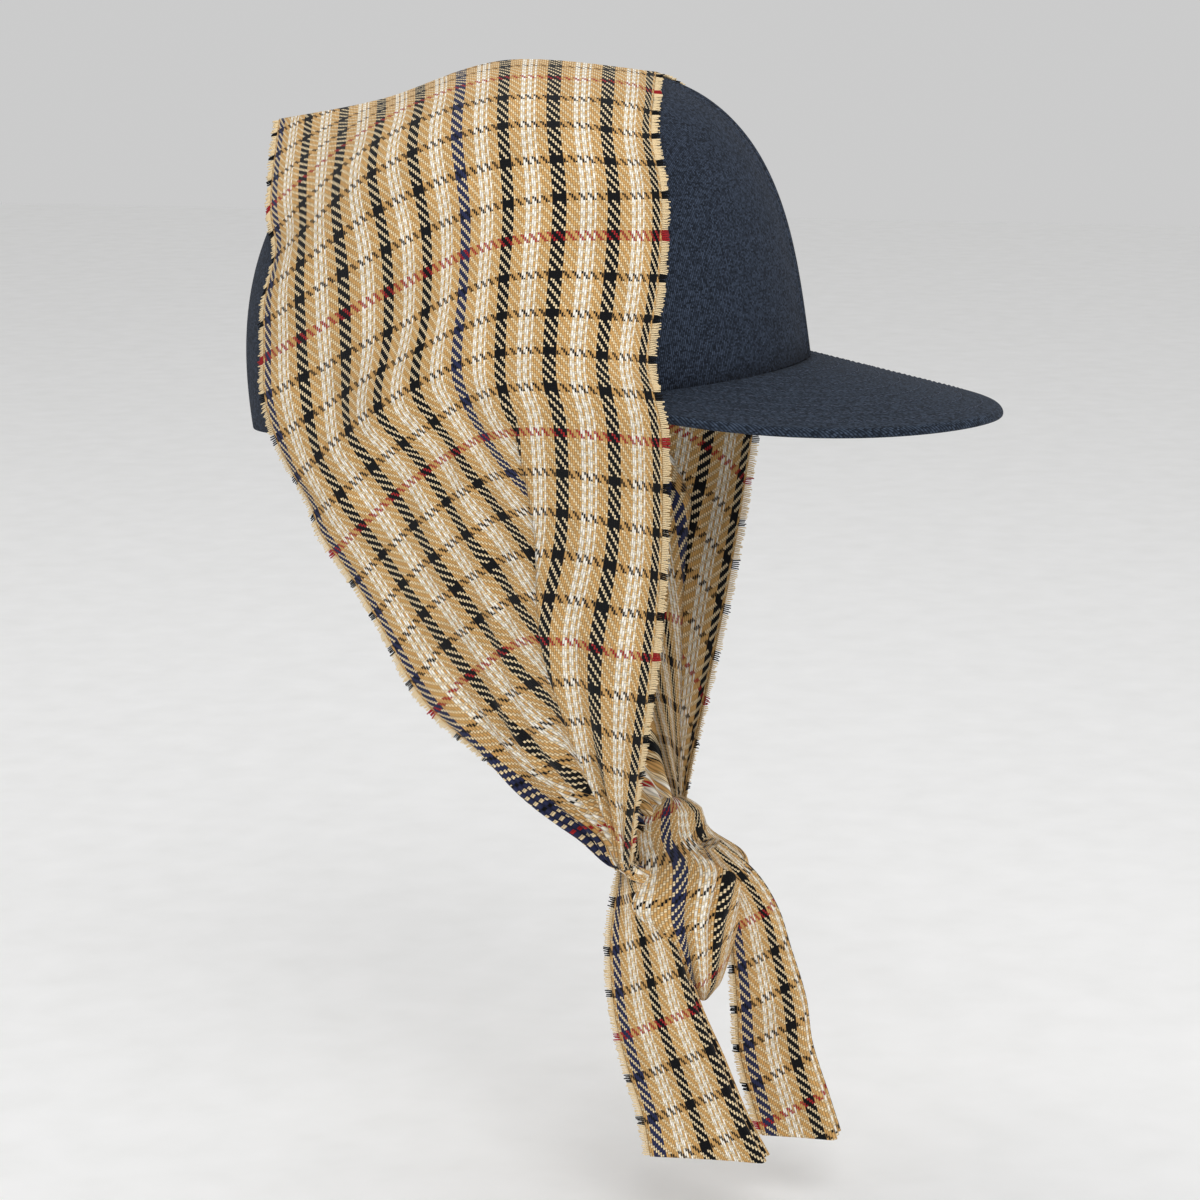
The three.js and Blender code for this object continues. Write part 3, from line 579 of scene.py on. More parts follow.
def navy_twill(name, dark, light, pitch, lean):
    """Wool-blend twill, tightly woven: fine ribs with a painted highlight on their crests and paler flecks of
    yarn on a dark ground, quite matt.
    """
    made, tree, surface, bump = cloth_material(name, **{
        "Roughness": 0.92, "Sheen Weight": 0.03, "Sheen Roughness": 0.5, "Specular IOR Level": 0.14})
    cloth = node(tree, "ShaderNodeSeparateXYZ", {0: node(tree, "ShaderNodeUVMap").outputs[0]})
    slant = node(tree, "ShaderNodeMath", {0: cloth.outputs[1], 1: lean, 2: cloth.outputs[0]},
                 operation="MULTIPLY_ADD").outputs[0]
    rib = node(tree, "ShaderNodeMath", {0: slant, 1: pitch}, operation="DIVIDE").outputs[0]
    ridge = node(tree, "ShaderNodeMath", {0: rib, 1: 0.5}, operation="PINGPONG").outputs[0]
    rib_number = node(tree, "ShaderNodeMath", {0: rib}, operation="FLOOR").outputs[0]
    run = node(tree, "ShaderNodeMath", {0: cloth.outputs[1], 1: 0.6 * MM}, operation="DIVIDE").outputs[0]
    run_number = node(tree, "ShaderNodeMath", {0: run}, operation="FLOOR").outputs[0]
    place = node(tree, "ShaderNodeCombineXYZ", {0: rib_number, 1: run_number}).outputs[0]
    fleck = node(tree, "ShaderNodeTexWhiteNoise", {0: place}, noise_dimensions="2D").outputs[0]
    spot = node(tree, "ShaderNodeTexCoord").outputs["Object"]
    mottle = node(tree, "ShaderNodeTexNoise", {"Vector": spot, "Scale": 700.0, "Detail": 3.0}).outputs[0]
    # Painted light: each rib is lighter on its crest and darker in its groove, as the bump rises and falls.
    lit = node(tree, "ShaderNodeMath", {0: ridge, 1: 1.5, 2: 0.05}, operation="MULTIPLY_ADD").outputs[0]
    flecked = node(tree, "ShaderNodeMath", {0: fleck, 1: 1.3, 2: 0.15}, operation="MULTIPLY_ADD").outputs[0]
    clouded = node(tree, "ShaderNodeMath", {0: mottle, 1: 1.4, 2: 0.3}, operation="MULTIPLY_ADD").outputs[0]
    lit = node(tree, "ShaderNodeMath", {0: lit, 1: flecked}, operation="MULTIPLY").outputs[0]
    lit = node(tree, "ShaderNodeMath", {0: lit, 1: clouded}, operation="MULTIPLY", use_clamp=True).outputs[0]
    # Dark ground to pale yarn, by the painted rib light, the real flecks and the mottle.
    colour_blend = node(tree, "ShaderNodeMix", {"Factor": lit, 6: dark, 7: light}, data_type="RGBA").outputs[2]
    tree.links.new(colour_blend, surface.inputs["Base Color"])
    tree.links.new(ridge, bump.inputs["Height"])
    bump.inputs["Distance"].default_value = 0.18 * MM
    return made


def spun_yarn(name, dark, light, grain, relief, **shader):
    """A plain fabric or thread known by its grain: sewing thread, brushed cotton tape, floor cloth."""
    made, tree, surface, bump = cloth_material(name, **shader)
    spot = node(tree, "ShaderNodeTexCoord").outputs["Object"]
    spun = node(tree, "ShaderNodeTexNoise", {"Vector": spot, "Scale": grain, "Detail": 2.0}).outputs[0]
    colour_blend = node(tree, "ShaderNodeMix", {"Factor": spun, 6: dark, 7: light}, data_type="RGBA").outputs[2]
    tree.links.new(colour_blend, surface.inputs["Base Color"])
    tree.links.new(spun, bump.inputs["Height"])
    bump.inputs["Distance"].default_value = relief
    return made


def made_once(name, make):
    """The material of that name, made when it is first asked for."""
    return bpy.data.materials.get(name) or make()


def navy_thread(settings):
    """Polyester sewing thread, twisted, with a soft shine along each stitch."""
    name = "polyester_thread_navy"
    return made_once(name, lambda: spun_yarn(name, settings.twill_dark, settings.thread,
                                             THREAD_GRAIN, THREAD_RELIEF, Roughness=0.6))


def unit(vectors):
    """Vectors of length one."""
    return vectors / (np.linalg.norm(vectors, axis=-1, keepdims=True) + 1e-12)


def run_length(points):
    """Distance along a path of points, from its start."""
    steps = np.linalg.norm(np.diff(points, axis=0), axis=-1)
    return np.concatenate([np.zeros((1,) + steps.shape[1:]), np.cumsum(steps, axis=0)])


def crown_panel(name, place):
    """One panel of the crown, drawn in along its seams, with its UV upright in metres."""
    columns, rows = 61, 91
    middle = (place + 0.5) * PANEL_ARC
    mean_radius = (CROWN_HALF_WIDTH + CROWN_HALF_LENGTH) / 2
    top_climb = np.arccos((SHANK_RADIUS / CROWN_HALF_WIDTH) ** (squareness(middle) / 2)) / (math.pi / 2)
    climb = np.linspace(0, top_climb, rows)[:, None]
    reach = np.cos(climb * math.pi / 2) ** (2 / squareness(middle))
    gap = SEAM_GAP / 2 / (CROWN_HALF_WIDTH * reach)
    share = np.linspace(-0.5, 0.5, columns)[None]
    share = share + 0.12 * np.sin(2 * math.pi * share) * (1 - np.abs(2 * share))
    angle = middle + share * (PANEL_ARC - 2 * gap)
    to_seam = (0.5 - np.abs(share)) * PANEL_ARC * mean_radius * reach
    dip = SEAM_DIP * np.exp(-(to_seam / SEAM_DIP_REACH) ** 2)
    puff = SEAM_PUFF * np.exp(-((to_seam - SEAM_STITCH_INSET) / SEAM_PUFF_REACH) ** 2)
    points = crown_point(angle, np.broadcast_to(climb, angle.shape), puff - dip)
    across = (angle - middle) * mean_radius * reach
    up = run_length(points)
    panel = sheet_of(name.replace("crown_", "panel_"), tilted(points), np.stack([across, up], -1))
    thicken(panel, PANEL_CLOTH, -1)
    return panel


def stitches(path, normals, settings):
    """Threads along a path on cloth. Each stitch comes out of the cloth and dips back into it."""
    run = run_length(path)
    count = int(run[-1] / settings.stitch_pitch)
    begin = (np.arange(count) + 0.15) * settings.stitch_pitch
    stations = begin[:, None] + np.linspace(0, 1, 5)[None] * settings.stitch_length
    rise = np.array([-0.8, 0.35, 0.6, 0.35, -0.8]) * settings.thread_radius
    at = np.stack([np.interp(stations, run, path[:, axis]) for axis in range(3)], -1)
    out = np.stack([np.interp(stations, run, normals[:, axis]) for axis in range(3)], -1)
    return at + out * rise[None, :, None]


def crown_stitches(settings):
    """A row on each side of every seam, and the row above the hem."""
    rows = []
    mean_radius = (CROWN_HALF_WIDTH + CROWN_HALF_LENGTH) / 2
    for seam in range(len(PANELS)):
        for side in (-1, 1):
            climb = np.linspace(0.015, 0.95, 200)
            reach = np.cos(climb * math.pi / 2) ** (2 / squareness(seam * PANEL_ARC))
            angle = seam * PANEL_ARC + side * SEAM_STITCH_INSET / (mean_radius * reach)
            path = crown_point(angle, climb, 0.5 * MM)
            rows.append(stitches(tilted(path), tilted(unit(path)), settings))
    around = np.linspace(0, 2 * math.pi, 721)
    hem = crown_point(around, climb_at_height(around, settings.hem_height), 0.4 * MM)
    rows.append(stitches(tilted(hem), tilted(unit(hem * [1, 1, 0.1])), settings))
    return tubes("crown_stitches", np.concatenate(rows), settings.thread_radius, sides=5)


def eyelet(name, angle):
    """A sewn eyelet: thread wound round the edge of the hole."""
    climb = climb_at_height(angle, EYELET_HEIGHT)
    here = crown_point(angle, climb)
    up = unit(crown_point(angle, climb + 0.01) - here)
    normal = unit(np.cross(crown_point(angle + 0.01, climb) - here, up))
    normal = normal * np.sign(normal @ here)
    side = np.cross(normal, up)
    turn = np.linspace(0, 2 * math.pi, EYELET_TURNS * 10 + 1)
    ring = EYELET_RADIUS + 0.6 * MM + 0.9 * MM * np.cos(turn * EYELET_TURNS)
    lift = 0.1 * MM + 0.55 * MM * np.sin(turn * EYELET_TURNS)
    line = here + (side * np.cos(turn)[:, None] + up * np.sin(turn)[:, None]) * ring[:, None]
    return tubes(name, tilted(line + normal * lift[:, None])[None], 0.26 * MM, sides=5)


class CAP_OT_crown(bpy.types.Operator):
    """Sews the six panels of the crown, with their stitches and eyelets"""
    bl_idname = "cap.crown"
    bl_label = "Crown"
    bl_options = {"REGISTER", "UNDO"}

    def execute(self, context):
        settings = context.scene.cap_finish
        twill = made_once("wool_blend_twill_crown", lambda: navy_twill(
            "wool_blend_twill_crown", settings.twill_dark, settings.twill_light, settings.rib_pitch, 0.0))
        satin = spun_yarn("polyester_thread_eyelet", settings.twill_dark, settings.eyelet_thread,
                          THREAD_GRAIN, THREAD_RELIEF, Roughness=0.55)
        for name, place in PANELS.items():
            finish(crown_panel(name, place), twill, "navy_twill", name)
            finish(eyelet(name.replace("crown_", "eyelet_"), (place + 0.5) * PANEL_ARC), satin, "navy_twill")
        finish(crown_stitches(settings), navy_thread(settings), "navy_twill")
        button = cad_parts["top_button"]
        button.data.materials.clear()
        button.data.materials.append(navy_thread(settings))
        return {"FINISHED"}


class CAP_OT_sweatband(bpy.types.Operator):
    """Gives the plain band inside the rim its cotton"""
    bl_idname = "cap.sweatband"
    bl_label = "Sweatband"
    bl_options = {"REGISTER", "UNDO"}

    def execute(self, context):
        settings = context.scene.cap_finish
        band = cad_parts["sweatband"]
        band.data.materials.clear()
        band.data.materials.append(spun_yarn(
            "brushed_cotton_tape", settings.twill_dark, settings.lining, 1200, 0.1 * MM, Roughness=0.9))
        return {"FINISHED"}


def brim_seam(angle):
    """Where the visor leaves the crown, in the cap's own frame."""
    return np.stack([
        -(CROWN_HALF_WIDTH + SEAM_GAP) * np.sin(angle),
        -(CROWN_HALF_LENGTH + SEAM_GAP) * np.cos(angle),
        BRIM_SEAM_RISE * (1 - np.cos(angle)),
    ], -1)


def brim_outline(front_steps, corner_steps):
    """Matching points of the visor's seam and outer edge, from the wearer's left to the right."""
    reach = CROWN_HALF_LENGTH + BRIM_LENGTH - BRIM_CENTRE_BACK
    last_turn = math.acos(((BRIM_CORNER_BACK - BRIM_CENTRE_BACK) / reach) ** (1 / BRIM_EDGE_SQUARENESS))
    share = np.linspace(0, 1, front_steps)
    front_x = -BRIM_HALF_WIDTH * np.sin(share * last_turn) ** BRIM_EDGE_SQUARENESS
    front_y = -BRIM_CENTRE_BACK - reach * np.cos(share * last_turn) ** BRIM_EDGE_SQUARENESS
    seam_end = brim_seam(BRIM_SEAM_ARC)
    corner = np.linspace(0, 1, corner_steps)[1:]
    turn = corner * math.pi / 2.3
    x = np.concatenate([front_x, seam_end[0] + (front_x[-1] - seam_end[0]) * np.cos(turn)])
    y = np.concatenate([front_y, -BRIM_CORNER_BACK + (seam_end[1] + BRIM_CORNER_BACK) * np.sin(turn)])
    z = -math.tan(BRIM_SLOPE) * (-y - CROWN_HALF_LENGTH) - BRIM_ARCH * (x / BRIM_HALF_WIDTH) ** 2
    angle = np.concatenate([
        share * BRIM_FRONT_ARC, BRIM_FRONT_ARC + corner * (BRIM_SEAM_ARC - BRIM_FRONT_ARC)])
    edge = np.stack([x, y, z], -1)
    seam = brim_seam(angle)
    mirror = np.array([-1, 1, 1])
    return np.concatenate([(seam * mirror)[:0:-1], seam]), np.concatenate([(edge * mirror)[:0:-1], edge])


def visor():
    """The visor: cloth over a stiff board, rolled round its outer edge."""
    seam, edge = brim_outline(101, 25)
    reach = np.linalg.norm(edge - seam, axis=1)[:, None]
    out = (edge - seam) / reach
    radius = BRIM_THICKNESS / 2
    down = np.array([0, 0, -1.0])
    flat = np.linspace(0, 1, 40) ** 0.8
    section = [(seam + out * (reach - radius) * share, reach * share) for share in flat]
    for turn in np.linspace(math.pi / 2, -math.pi / 2, 11)[1:-1]:
        rolled = out * radius * math.cos(turn) + down * radius * (1 - math.sin(turn))
        section.append((seam + out * (reach - radius) + rolled, reach + radius * (math.pi / 2 - turn)))
    section += [(seam + out * (reach - radius) * share + down * BRIM_THICKNESS,
                 2 * reach + radius * math.pi - reach * share) for share in flat[::-1]]
    section.append((seam, 2 * reach + radius * math.pi + BRIM_THICKNESS))
    points = np.stack([tilted(place) for place, _ in section], axis=1)
    along = run_length(edge)[:, None]
    run = np.concatenate([distance for _, distance in section], axis=1)
    uv = np.stack([np.broadcast_to(along, run.shape), run], -1)
    board = sheet_of("visor_cloth", points, uv)
    choose(board)
    bpy.ops.object.mode_set(mode="EDIT")
    bpy.ops.mesh.select_all(action="SELECT")
    bpy.ops.mesh.remove_doubles(threshold=1e-6)
    bpy.ops.mesh.select_all(action="SELECT")
    bpy.ops.mesh.fill_holes(sides=0)
    bpy.ops.mesh.select_all(action="SELECT")
    bpy.ops.mesh.normals_make_consistent(inside=False)
    bpy.ops.object.mode_set(mode="OBJECT")
    return board


def visor_stitches(settings):
    """Rows of stitches that run round the visor, parallel to its edge."""
    seam, edge = brim_outline(101, 25)
    reach = np.linalg.norm(edge - seam, axis=1)
    rows = []
    for inwards in np.arange(settings.brim_row_pitch, BRIM_LENGTH, settings.brim_row_pitch):
        kept = reach > inwards + 3 * MM
        if kept.sum() > 4:
            path = (edge + (seam - edge) * (inwards / reach)[:, None])[kept]
            up = np.broadcast_to([0.0, 0.0, 1.0], path.shape)
            rows.append(stitches(tilted(path), tilted(up), settings))
    return tubes("visor_stitches", np.concatenate(rows), settings.thread_radius * 0.5, sides=5)


class CAP_OT_visor(bpy.types.Operator):
    """Covers the visor and stitches it in rows"""
    bl_idname = "cap.visor"
    bl_label = "Visor"
    bl_options = {"REGISTER", "UNDO"}

    def execute(self, context):
        settings = context.scene.cap_finish
        twill = made_once("wool_blend_twill_visor", lambda: navy_twill(
            "wool_blend_twill_visor", settings.brim_dark, settings.brim_light, 1.6 * settings.rib_pitch, 0.7))
        finish(visor(), twill, "navy_brim", "brim")
        finish(visor_stitches(settings), navy_thread(settings), "navy_brim")
        return {"FINISHED"}


def clear_of_cap(points, gap):
    """Cloth points in the cap's own frame, pushed out of the crown and off the top button."""
    x, y, z = np.moveaxis(points, -1, 0)
    over_button = smooth(1.6 - np.hypot(x, y) / (2 * BUTTON_RADIUS))
    lift = gap + over_button * (BUTTON_HEIGHT + SEAM_GAP)
    power = squareness(np.arctan2(np.abs(x) / CROWN_HALF_WIDTH, -y / CROWN_HALF_LENGTH))
    reach = np.hypot(x / (CROWN_HALF_WIDTH + gap), y / (CROWN_HALF_LENGTH + gap))
    fill = (reach ** power + (np.maximum(z, 0) / (CROWN_HEIGHT + lift)) ** power) ** (1 / power)
    push = np.where((z > 0) & (fill < 1), 1 / np.maximum(fill, 1e-6), 1)
    return points * push[..., None]


# Folds of the drape: a line in the cloth from one place to another, each a row of the sections and a sample
# between their lines, then its half width and its height (a valley is negative), both in millimetres.
SCARF_FOLDS = np.array([
    # row, sample, row, sample, half width, height
    [0.5, 0.05, 2.6, 0.10, 5.0, -0.9],
    [1.0, 0.45, 4.2, 0.75, 6.0, 0.7],
    [2.2, 0.25, 6.5, 0.55, 7.0, -0.9],
    [3.6, 2.60, 6.2, 2.15, 6.0, -1.7],
    [4.6, 2.92, 6.8, 2.60, 5.0, 1.3],
    [5.0, 1.35, 9.5, 1.45, 7.0, -1.4],
    [6.5, 2.10, 10.5, 1.90, 6.0, 2.2],
    [7.5, 2.60, 11.5, 2.25, 5.0, -2.2],
    [8.0, 0.35, 12.0, 0.40, 5.0, 1.4],
    [8.5, 0.70, 12.5, 0.75, 4.0, -1.4],
    [7.0, 1.60, 11.8, 1.60, 5.0, 1.8],
    [9.0, 2.85, 12.5, 2.60, 4.0, 1.8],
])


def scarf_grid(settings, side):
    """Mid-surface of the drape on one side, with its cloth coordinates. side is 1 for the wearer's right."""
    rows = np.linspace(0, len(SCARF_SECTIONS) - 1, 165)
    lines = SCARF_SECTIONS[:, 1:].reshape(-1, 4, 3) * [-CROWN_HALF_WIDTH, CROWN_HALF_LENGTH, 1]
    lines[..., 2] *= np.where(lines[..., 2] > 0, CROWN_HEIGHT, KNOT_DROP)
    along = catmull_rom(lines, rows)
    strip = np.clip(catmull_rom(SCARF_SECTIONS[:, 0], rows), 0, 1)
    cloth = catmull_rom(SCARF_CLOTH, rows)
    row_front, row_rear, crease, emerge, side_line = cloth.T[..., None]
    folded = smooth(strip[:, None] * 2)
    tuck = np.minimum(0.5, (emerge - crease) / 2 / crease)

    # Columns: the front strip, the cloth folded back under it, and what lies behind. Above the fold the same
    # columns lie side by side.
    front = np.linspace(0, 1, 44)[None]
    under = np.linspace(0, 1, 10)[None, 1:]
    behind = np.linspace(1, 3, 85)[None, 1:]
    none = np.zeros((len(rows), 1))
    laid = np.concatenate([0.84 * front, 0.84 + 0.08 * under, 0.92 + 0.08 * under, behind], axis=1) + none
    tucked = np.concatenate([front + none, 1 - tuck * under, 1 - tuck * (1 - under), behind + none], axis=1)
    sample = laid + (tucked - laid) * folded
    top = smooth(tucked * 1.7)
    layer = np.concatenate([1 + 0 * front, 0.52 + 0 * under, 0.03 + 0 * under, 0 * behind], axis=1)
    lift_share = top * layer
    width = settings.cloth_width / settings.stripe_pitch
    half = (crease + emerge) / 2
    from_side = np.where(behind <= 2, emerge + (side_line - emerge) * (behind - 1),
                         side_line + (width - side_line) * (behind - 2))
    tucked_stripes = np.concatenate([
        crease * front, crease + (half - crease) * under, half + (emerge - half) * under, from_side], axis=1)
    laid_stripes = np.concatenate([crease * laid[:, :-behind.shape[1]], from_side], axis=1)
    stripes = laid_stripes + (tucked_stripes - laid_stripes) * folded

    points = np.stack([catmull_rom(along[r].reshape(4, 3), sample[r]) for r in range(len(rows))])
    # Shape of the folds, and of the pleats that gather towards the knot.
    relief = np.zeros(sample.shape)
    place = np.stack([np.broadcast_to(rows[:, None] * ROW_MM, sample.shape), sample * SAMPLE_MM], -1)
    for row_a, sample_a, row_b, sample_b, spread, height in SCARF_FOLDS:
        start = np.array([row_a * ROW_MM, sample_a * SAMPLE_MM])
        end = np.array([row_b * ROW_MM, sample_b * SAMPLE_MM])
        way = end - start
        share = np.clip(((place - start) @ way) / (way @ way), 0, 1)
        away = np.linalg.norm(place - start - share[..., None] * way, axis=-1)
        fading = np.sin(math.pi * np.clip(share, 0.04, 0.96)) ** 0.5
        relief += height * MM * np.exp(-(away / spread) ** 2) * fading
    gather = smooth((rows[:, None] - 8) / 4)
    pleats = np.sin(2 * math.pi * (sample * 2.3 + 0.15 * np.sin(rows[:, None])))
    relief += PLEAT_HEIGHT * gather * pleats
    ripple = smooth((sample - 2.4) / 0.6) * np.sin(rows[:, None] * 3.1 + 0.6)
    relief += RIPPLE_HEIGHT * ripple * smooth(rows[:, None] / 3)
    behind_only = catmull_rom(along.swapaxes(0, 1), np.linspace(0, 3, sample.shape[1])).swapaxes(0, 1)
    normal = unit(np.cross(np.gradient(behind_only, axis=1), np.gradient(behind_only, axis=0)))
    normal = normal * np.sign(np.sum(normal * (behind_only - [0, 0, -0.02]), axis=-1, keepdims=True))
    column = sample / 3 * (sample.shape[1] - 1)
    low = np.clip(np.floor(column).astype(int), 0, sample.shape[1] - 2)
    line = np.arange(len(rows))[:, None]
    mixed = normal[line, low] + (normal[line, low + 1] - normal[line, low]) * (column - low)[..., None]
    points = points + unit(mixed) * relief[..., None]
    points[..., 0] -= STRIP_LIFT * strip[:, None] * lift_share

    edge = smooth(np.minimum(sample, 3 - sample) / 0.25)
    gap = CLOTH_EASE * (1 + edge)
    points = clear_of_cap(points, gap)
    bar_rows = row_front + (row_rear - row_front) * stripes / width
    uv = np.stack([stripes * settings.stripe_pitch, bar_rows * settings.bar_pitch], -1)
    if side < 0:
        forward = FAR_STRAND_FORWARD * np.clip((rows - FORWARD_ROW) / (GATHER_ROW - FORWARD_ROW), 0, 1) ** 1.5
        points = points * [-1, 1, 1]
        points[..., 1] -= forward[:, None]
        uv[..., 1] = 2 * uv[:1, :, 1] - uv[..., 1]
    return points, uv


def drape(settings):
    """The scarf from knot to knot over the crown, and its surface grid."""
    right, right_uv = scarf_grid(settings, 1)
    left, left_uv = scarf_grid(settings, -1)
    points = tilted(np.concatenate([left[:0:-1], right]))
    uv = np.concatenate([left_uv[:0:-1], right_uv])
    piece = sheet_of("scarf_cloth_drape", points, uv)
    thicken(piece, settings.cloth_wall, 0)
    return piece, points, uv


def fringe(name, edge, inner, uv, settings, seed):
    """Frayed threads along an edge. Each leaves the cloth as its weft lies, and wanders a little."""
    random = np.random.default_rng(settings.fringe_seed + seed)
    run = run_length(edge)
    cloth_run = np.abs(uv[:, 1] - uv[0, 1])
    cloth_run = np.maximum.accumulate(cloth_run)
    count = int(cloth_run[-1] / settings.fringe_pitch)
    at = (np.arange(count) + 0.5) * settings.fringe_pitch
    where = np.interp(at, cloth_run, run)

    def pick(values):
        """Values of the edge where each thread starts."""
        return np.stack([np.interp(where, run, values[:, k]) for k in range(values.shape[1])], -1)

    start = pick(edge)
    out = unit(start - pick(inner))
    tangent = unit(pick(np.gradient(edge, axis=0)))
    normal = unit(np.cross(out, tangent))
    length = settings.fringe_length * (0.85 + 0.3 * random.random(count))
    clump = 0.1 * np.sin(np.arange(count) * 0.3) + 0.08 * (random.random(count) - 0.5)
    rise = (random.random(count) - 0.5) * 0.3
    steps = np.linspace(0, 1, 5)
    lines = []
    for share in steps:
        bent = out + tangent * (clump * share)[:, None] + normal * (rise * share)[:, None]
        lines.append(start - out * 0.8 * MM + bent * (length * share)[:, None])
    threads = tilted(clear_of_cap(tilted(np.stack(lines, 1), CAP_TILT), CLOTH_EASE))
    radii = settings.yarn_radius * (1 - 0.3 * steps)[None]
    thread_uv = np.stack([np.zeros(count), pick(uv)[:, 1]], -1)
    return tubes(name, threads, radii, sides=5, uv=thread_uv)


class SCARF_OT_drape(bpy.types.Operator):
    """Drapes the scarf over the crown from ear to ear, with its frayed edges"""
    bl_idname = "scarf.drape"
    bl_label = "Drape"
    bl_options = {"REGISTER", "UNDO"}

    def execute(self, context):
        settings = context.scene.scarf_finish
        flannel = made_once("wool_flannel_twill_check", lambda: wool_flannel_check(settings))
        yarn = made_once("wool_yarn_frayed_weft", lambda: frayed_weft(settings))
        piece, points, uv = drape(settings)
        finish(piece, flannel, "check_flannel", "scarf_drape")
        front = fringe("fringe_drape_front", points[:, 0], points[:, 3], uv[:, 0], settings, 1)
        rear = fringe("fringe_drape_rear", points[:, -1], points[:, -4], uv[:, -1], settings, 2)
        for threads in (front, rear):
            finish(threads, yarn, "check_flannel")
        return {"FINISHED"}


def knot_surface(settings):
    """The gathered bulge of the knot: cloth that comes down from the wearer's left and turns under."""
    rings, around = 90, 161
    last = len(KNOT_SECTIONS) - 1
    position = np.linspace(0, last, rings)
    up, right, forward, depth, width = catmull_rom(KNOT_SECTIONS, position).T[..., None]
    turn = np.linspace(0, 2 * math.pi, around)[None]
    twist = turn + 0.5 * (position[:, None] / last - 0.4)
    pleat = (1.5 * np.sin(5 * twist + 0.8) + 0.7 * np.sin(11 * twist + 1.0)) * MM
    fold = -KNOT_FOLD_DEPTH * np.exp(-((np.mod(twist - 0.8, 2 * math.pi) - math.pi) / 0.2) ** 2)
    lobe = KNOT_LOBE_HEIGHT * np.exp(-((turn - 2.35) / 0.45) ** 2 - ((up - 0.12) / 0.3) ** 2)
    swell = np.sin(math.pi * np.clip((up + 1) / 1.85, 0.05, 1)) ** 0.6
    relief = (pleat + fold) * swell * width + lobe
    to_end = np.minimum((last - position) / 0.7, position / 0.4)[:, None]
    closing = np.clip(to_end, 0.01, 1) ** 0.5
    out_depth = (depth * KNOT_HALF_DEPTH + relief) * closing
    out_width = (width * KNOT_HALF_WIDTH + relief) * closing
    points = np.stack([
        -right * KNOT_HALF_DEPTH + out_depth * np.cos(turn),
        -forward * KNOT_HALF_WIDTH + out_width * np.sin(turn),
        up * KNOT_HALF_HEIGHT + 0 * turn,
    ], -1)
    # Cloth coordinates: the middle of the side seen from the wearer's right is the fourth stripe.
    arc = (turn - math.pi) * KNOT_HALF_WIDTH * KNOT_CLOTH_SHARE
    across = 70 * MM + 1.2 * MM + arc * 0.62 + 5 * MM * (position[:, None] / last - 0.5)
    drop = -(up - KNOT_SECTIONS[0, 0]) * KNOT_HALF_HEIGHT * KNOT_CLOTH_SHARE
    lean = 0.25 * arc
    along = 14.7 * settings.bar_pitch + drop + lean
    return hanging(points), np.stack([across, along], -1)


class SCARF_OT_knot(bpy.types.Operator):
    """Gathers the cloth of the half knot"""
    bl_idname = "scarf.knot"
    bl_label = "Knot"
    bl_options = {"REGISTER", "UNDO"}

    def execute(self, context):
        settings = context.scene.scarf_finish
        flannel = made_once("wool_flannel_twill_check", lambda: wool_flannel_check(settings))
        points, uv = knot_surface(settings)
        piece = sheet_of("scarf_cloth_knot", points, uv)
        thicken(piece, settings.cloth_wall, -1)
        finish(piece, flannel, "check_flannel", "scarf_knot")
        # The part of the cloth that the knot shows. The rest of its width lies gathered inside.
        return {"FINISHED"}


def tail_surface(side, lean):
    """A free end: the cloth folded to and fro and hanging from the knot, as points, the share of the cloth's
    width and the run down the cloth. lean says how far the cloth's rows climb across the tail."""
    sections, layers, radius = TAIL_SECTIONS[side], TAIL_LAYERS[side], TAIL_TURN_RADIUS[side]
    rows = 120
    position = np.linspace(0, len(sections) - 1, rows)
    down, right, forward, width = catmull_rom(sections, position).T
    run_columns, turn_columns = 24, 9
    across, depth = [], []
    half = width * TAIL_WIDTH / 2 - radius
    for layer in range(layers):
        way = 1 if layer % 2 == 0 else -1
        level = (layers - 1 - 2 * layer) * radius
        end = HIDDEN_EDGE_SHARE if layer == layers - 1 else 1
        for share in np.linspace(-1, end, run_columns):
            across.append(way * share * half)
            depth.append(np.full(rows, level))
        if layer < layers - 1:
            for turn in np.linspace(0, math.pi, turn_columns)[1:-1]:
                across.append(way * (half + radius * math.sin(turn)))
                depth.append(np.full(rows, level - radius * (1 - math.cos(turn))))
    across, depth = np.stack(across, 1), np.stack(depth, 1)
    outer = np.stack([across, depth], -1)
    girth = run_length(outer.swapaxes(0, 1)).swapaxes(0, 1)
    share = girth / girth[:, -1:]
    # Soft waves down the tail, deepest where it leaves the knot.
    wave = np.sin(2 * math.pi * across / (0.018 + 0.01 * position[:, None]) + position[:, None] * 0.7)
    gathered = np.exp(-position / 1.5)[:, None]
    depth = depth + (TAIL_GATHER * gathered + TAIL_WAVE) * wave
    points = np.stack([
        -(right * TAIL_LENGTH)[:, None] - depth,
        -(forward * TAIL_LENGTH)[:, None] - across,
        -(down * TAIL_LENGTH)[:, None] + 0 * across,
    ], -1)
    return hanging(points), share, (down * TAIL_LENGTH)[:, None] + lean * across


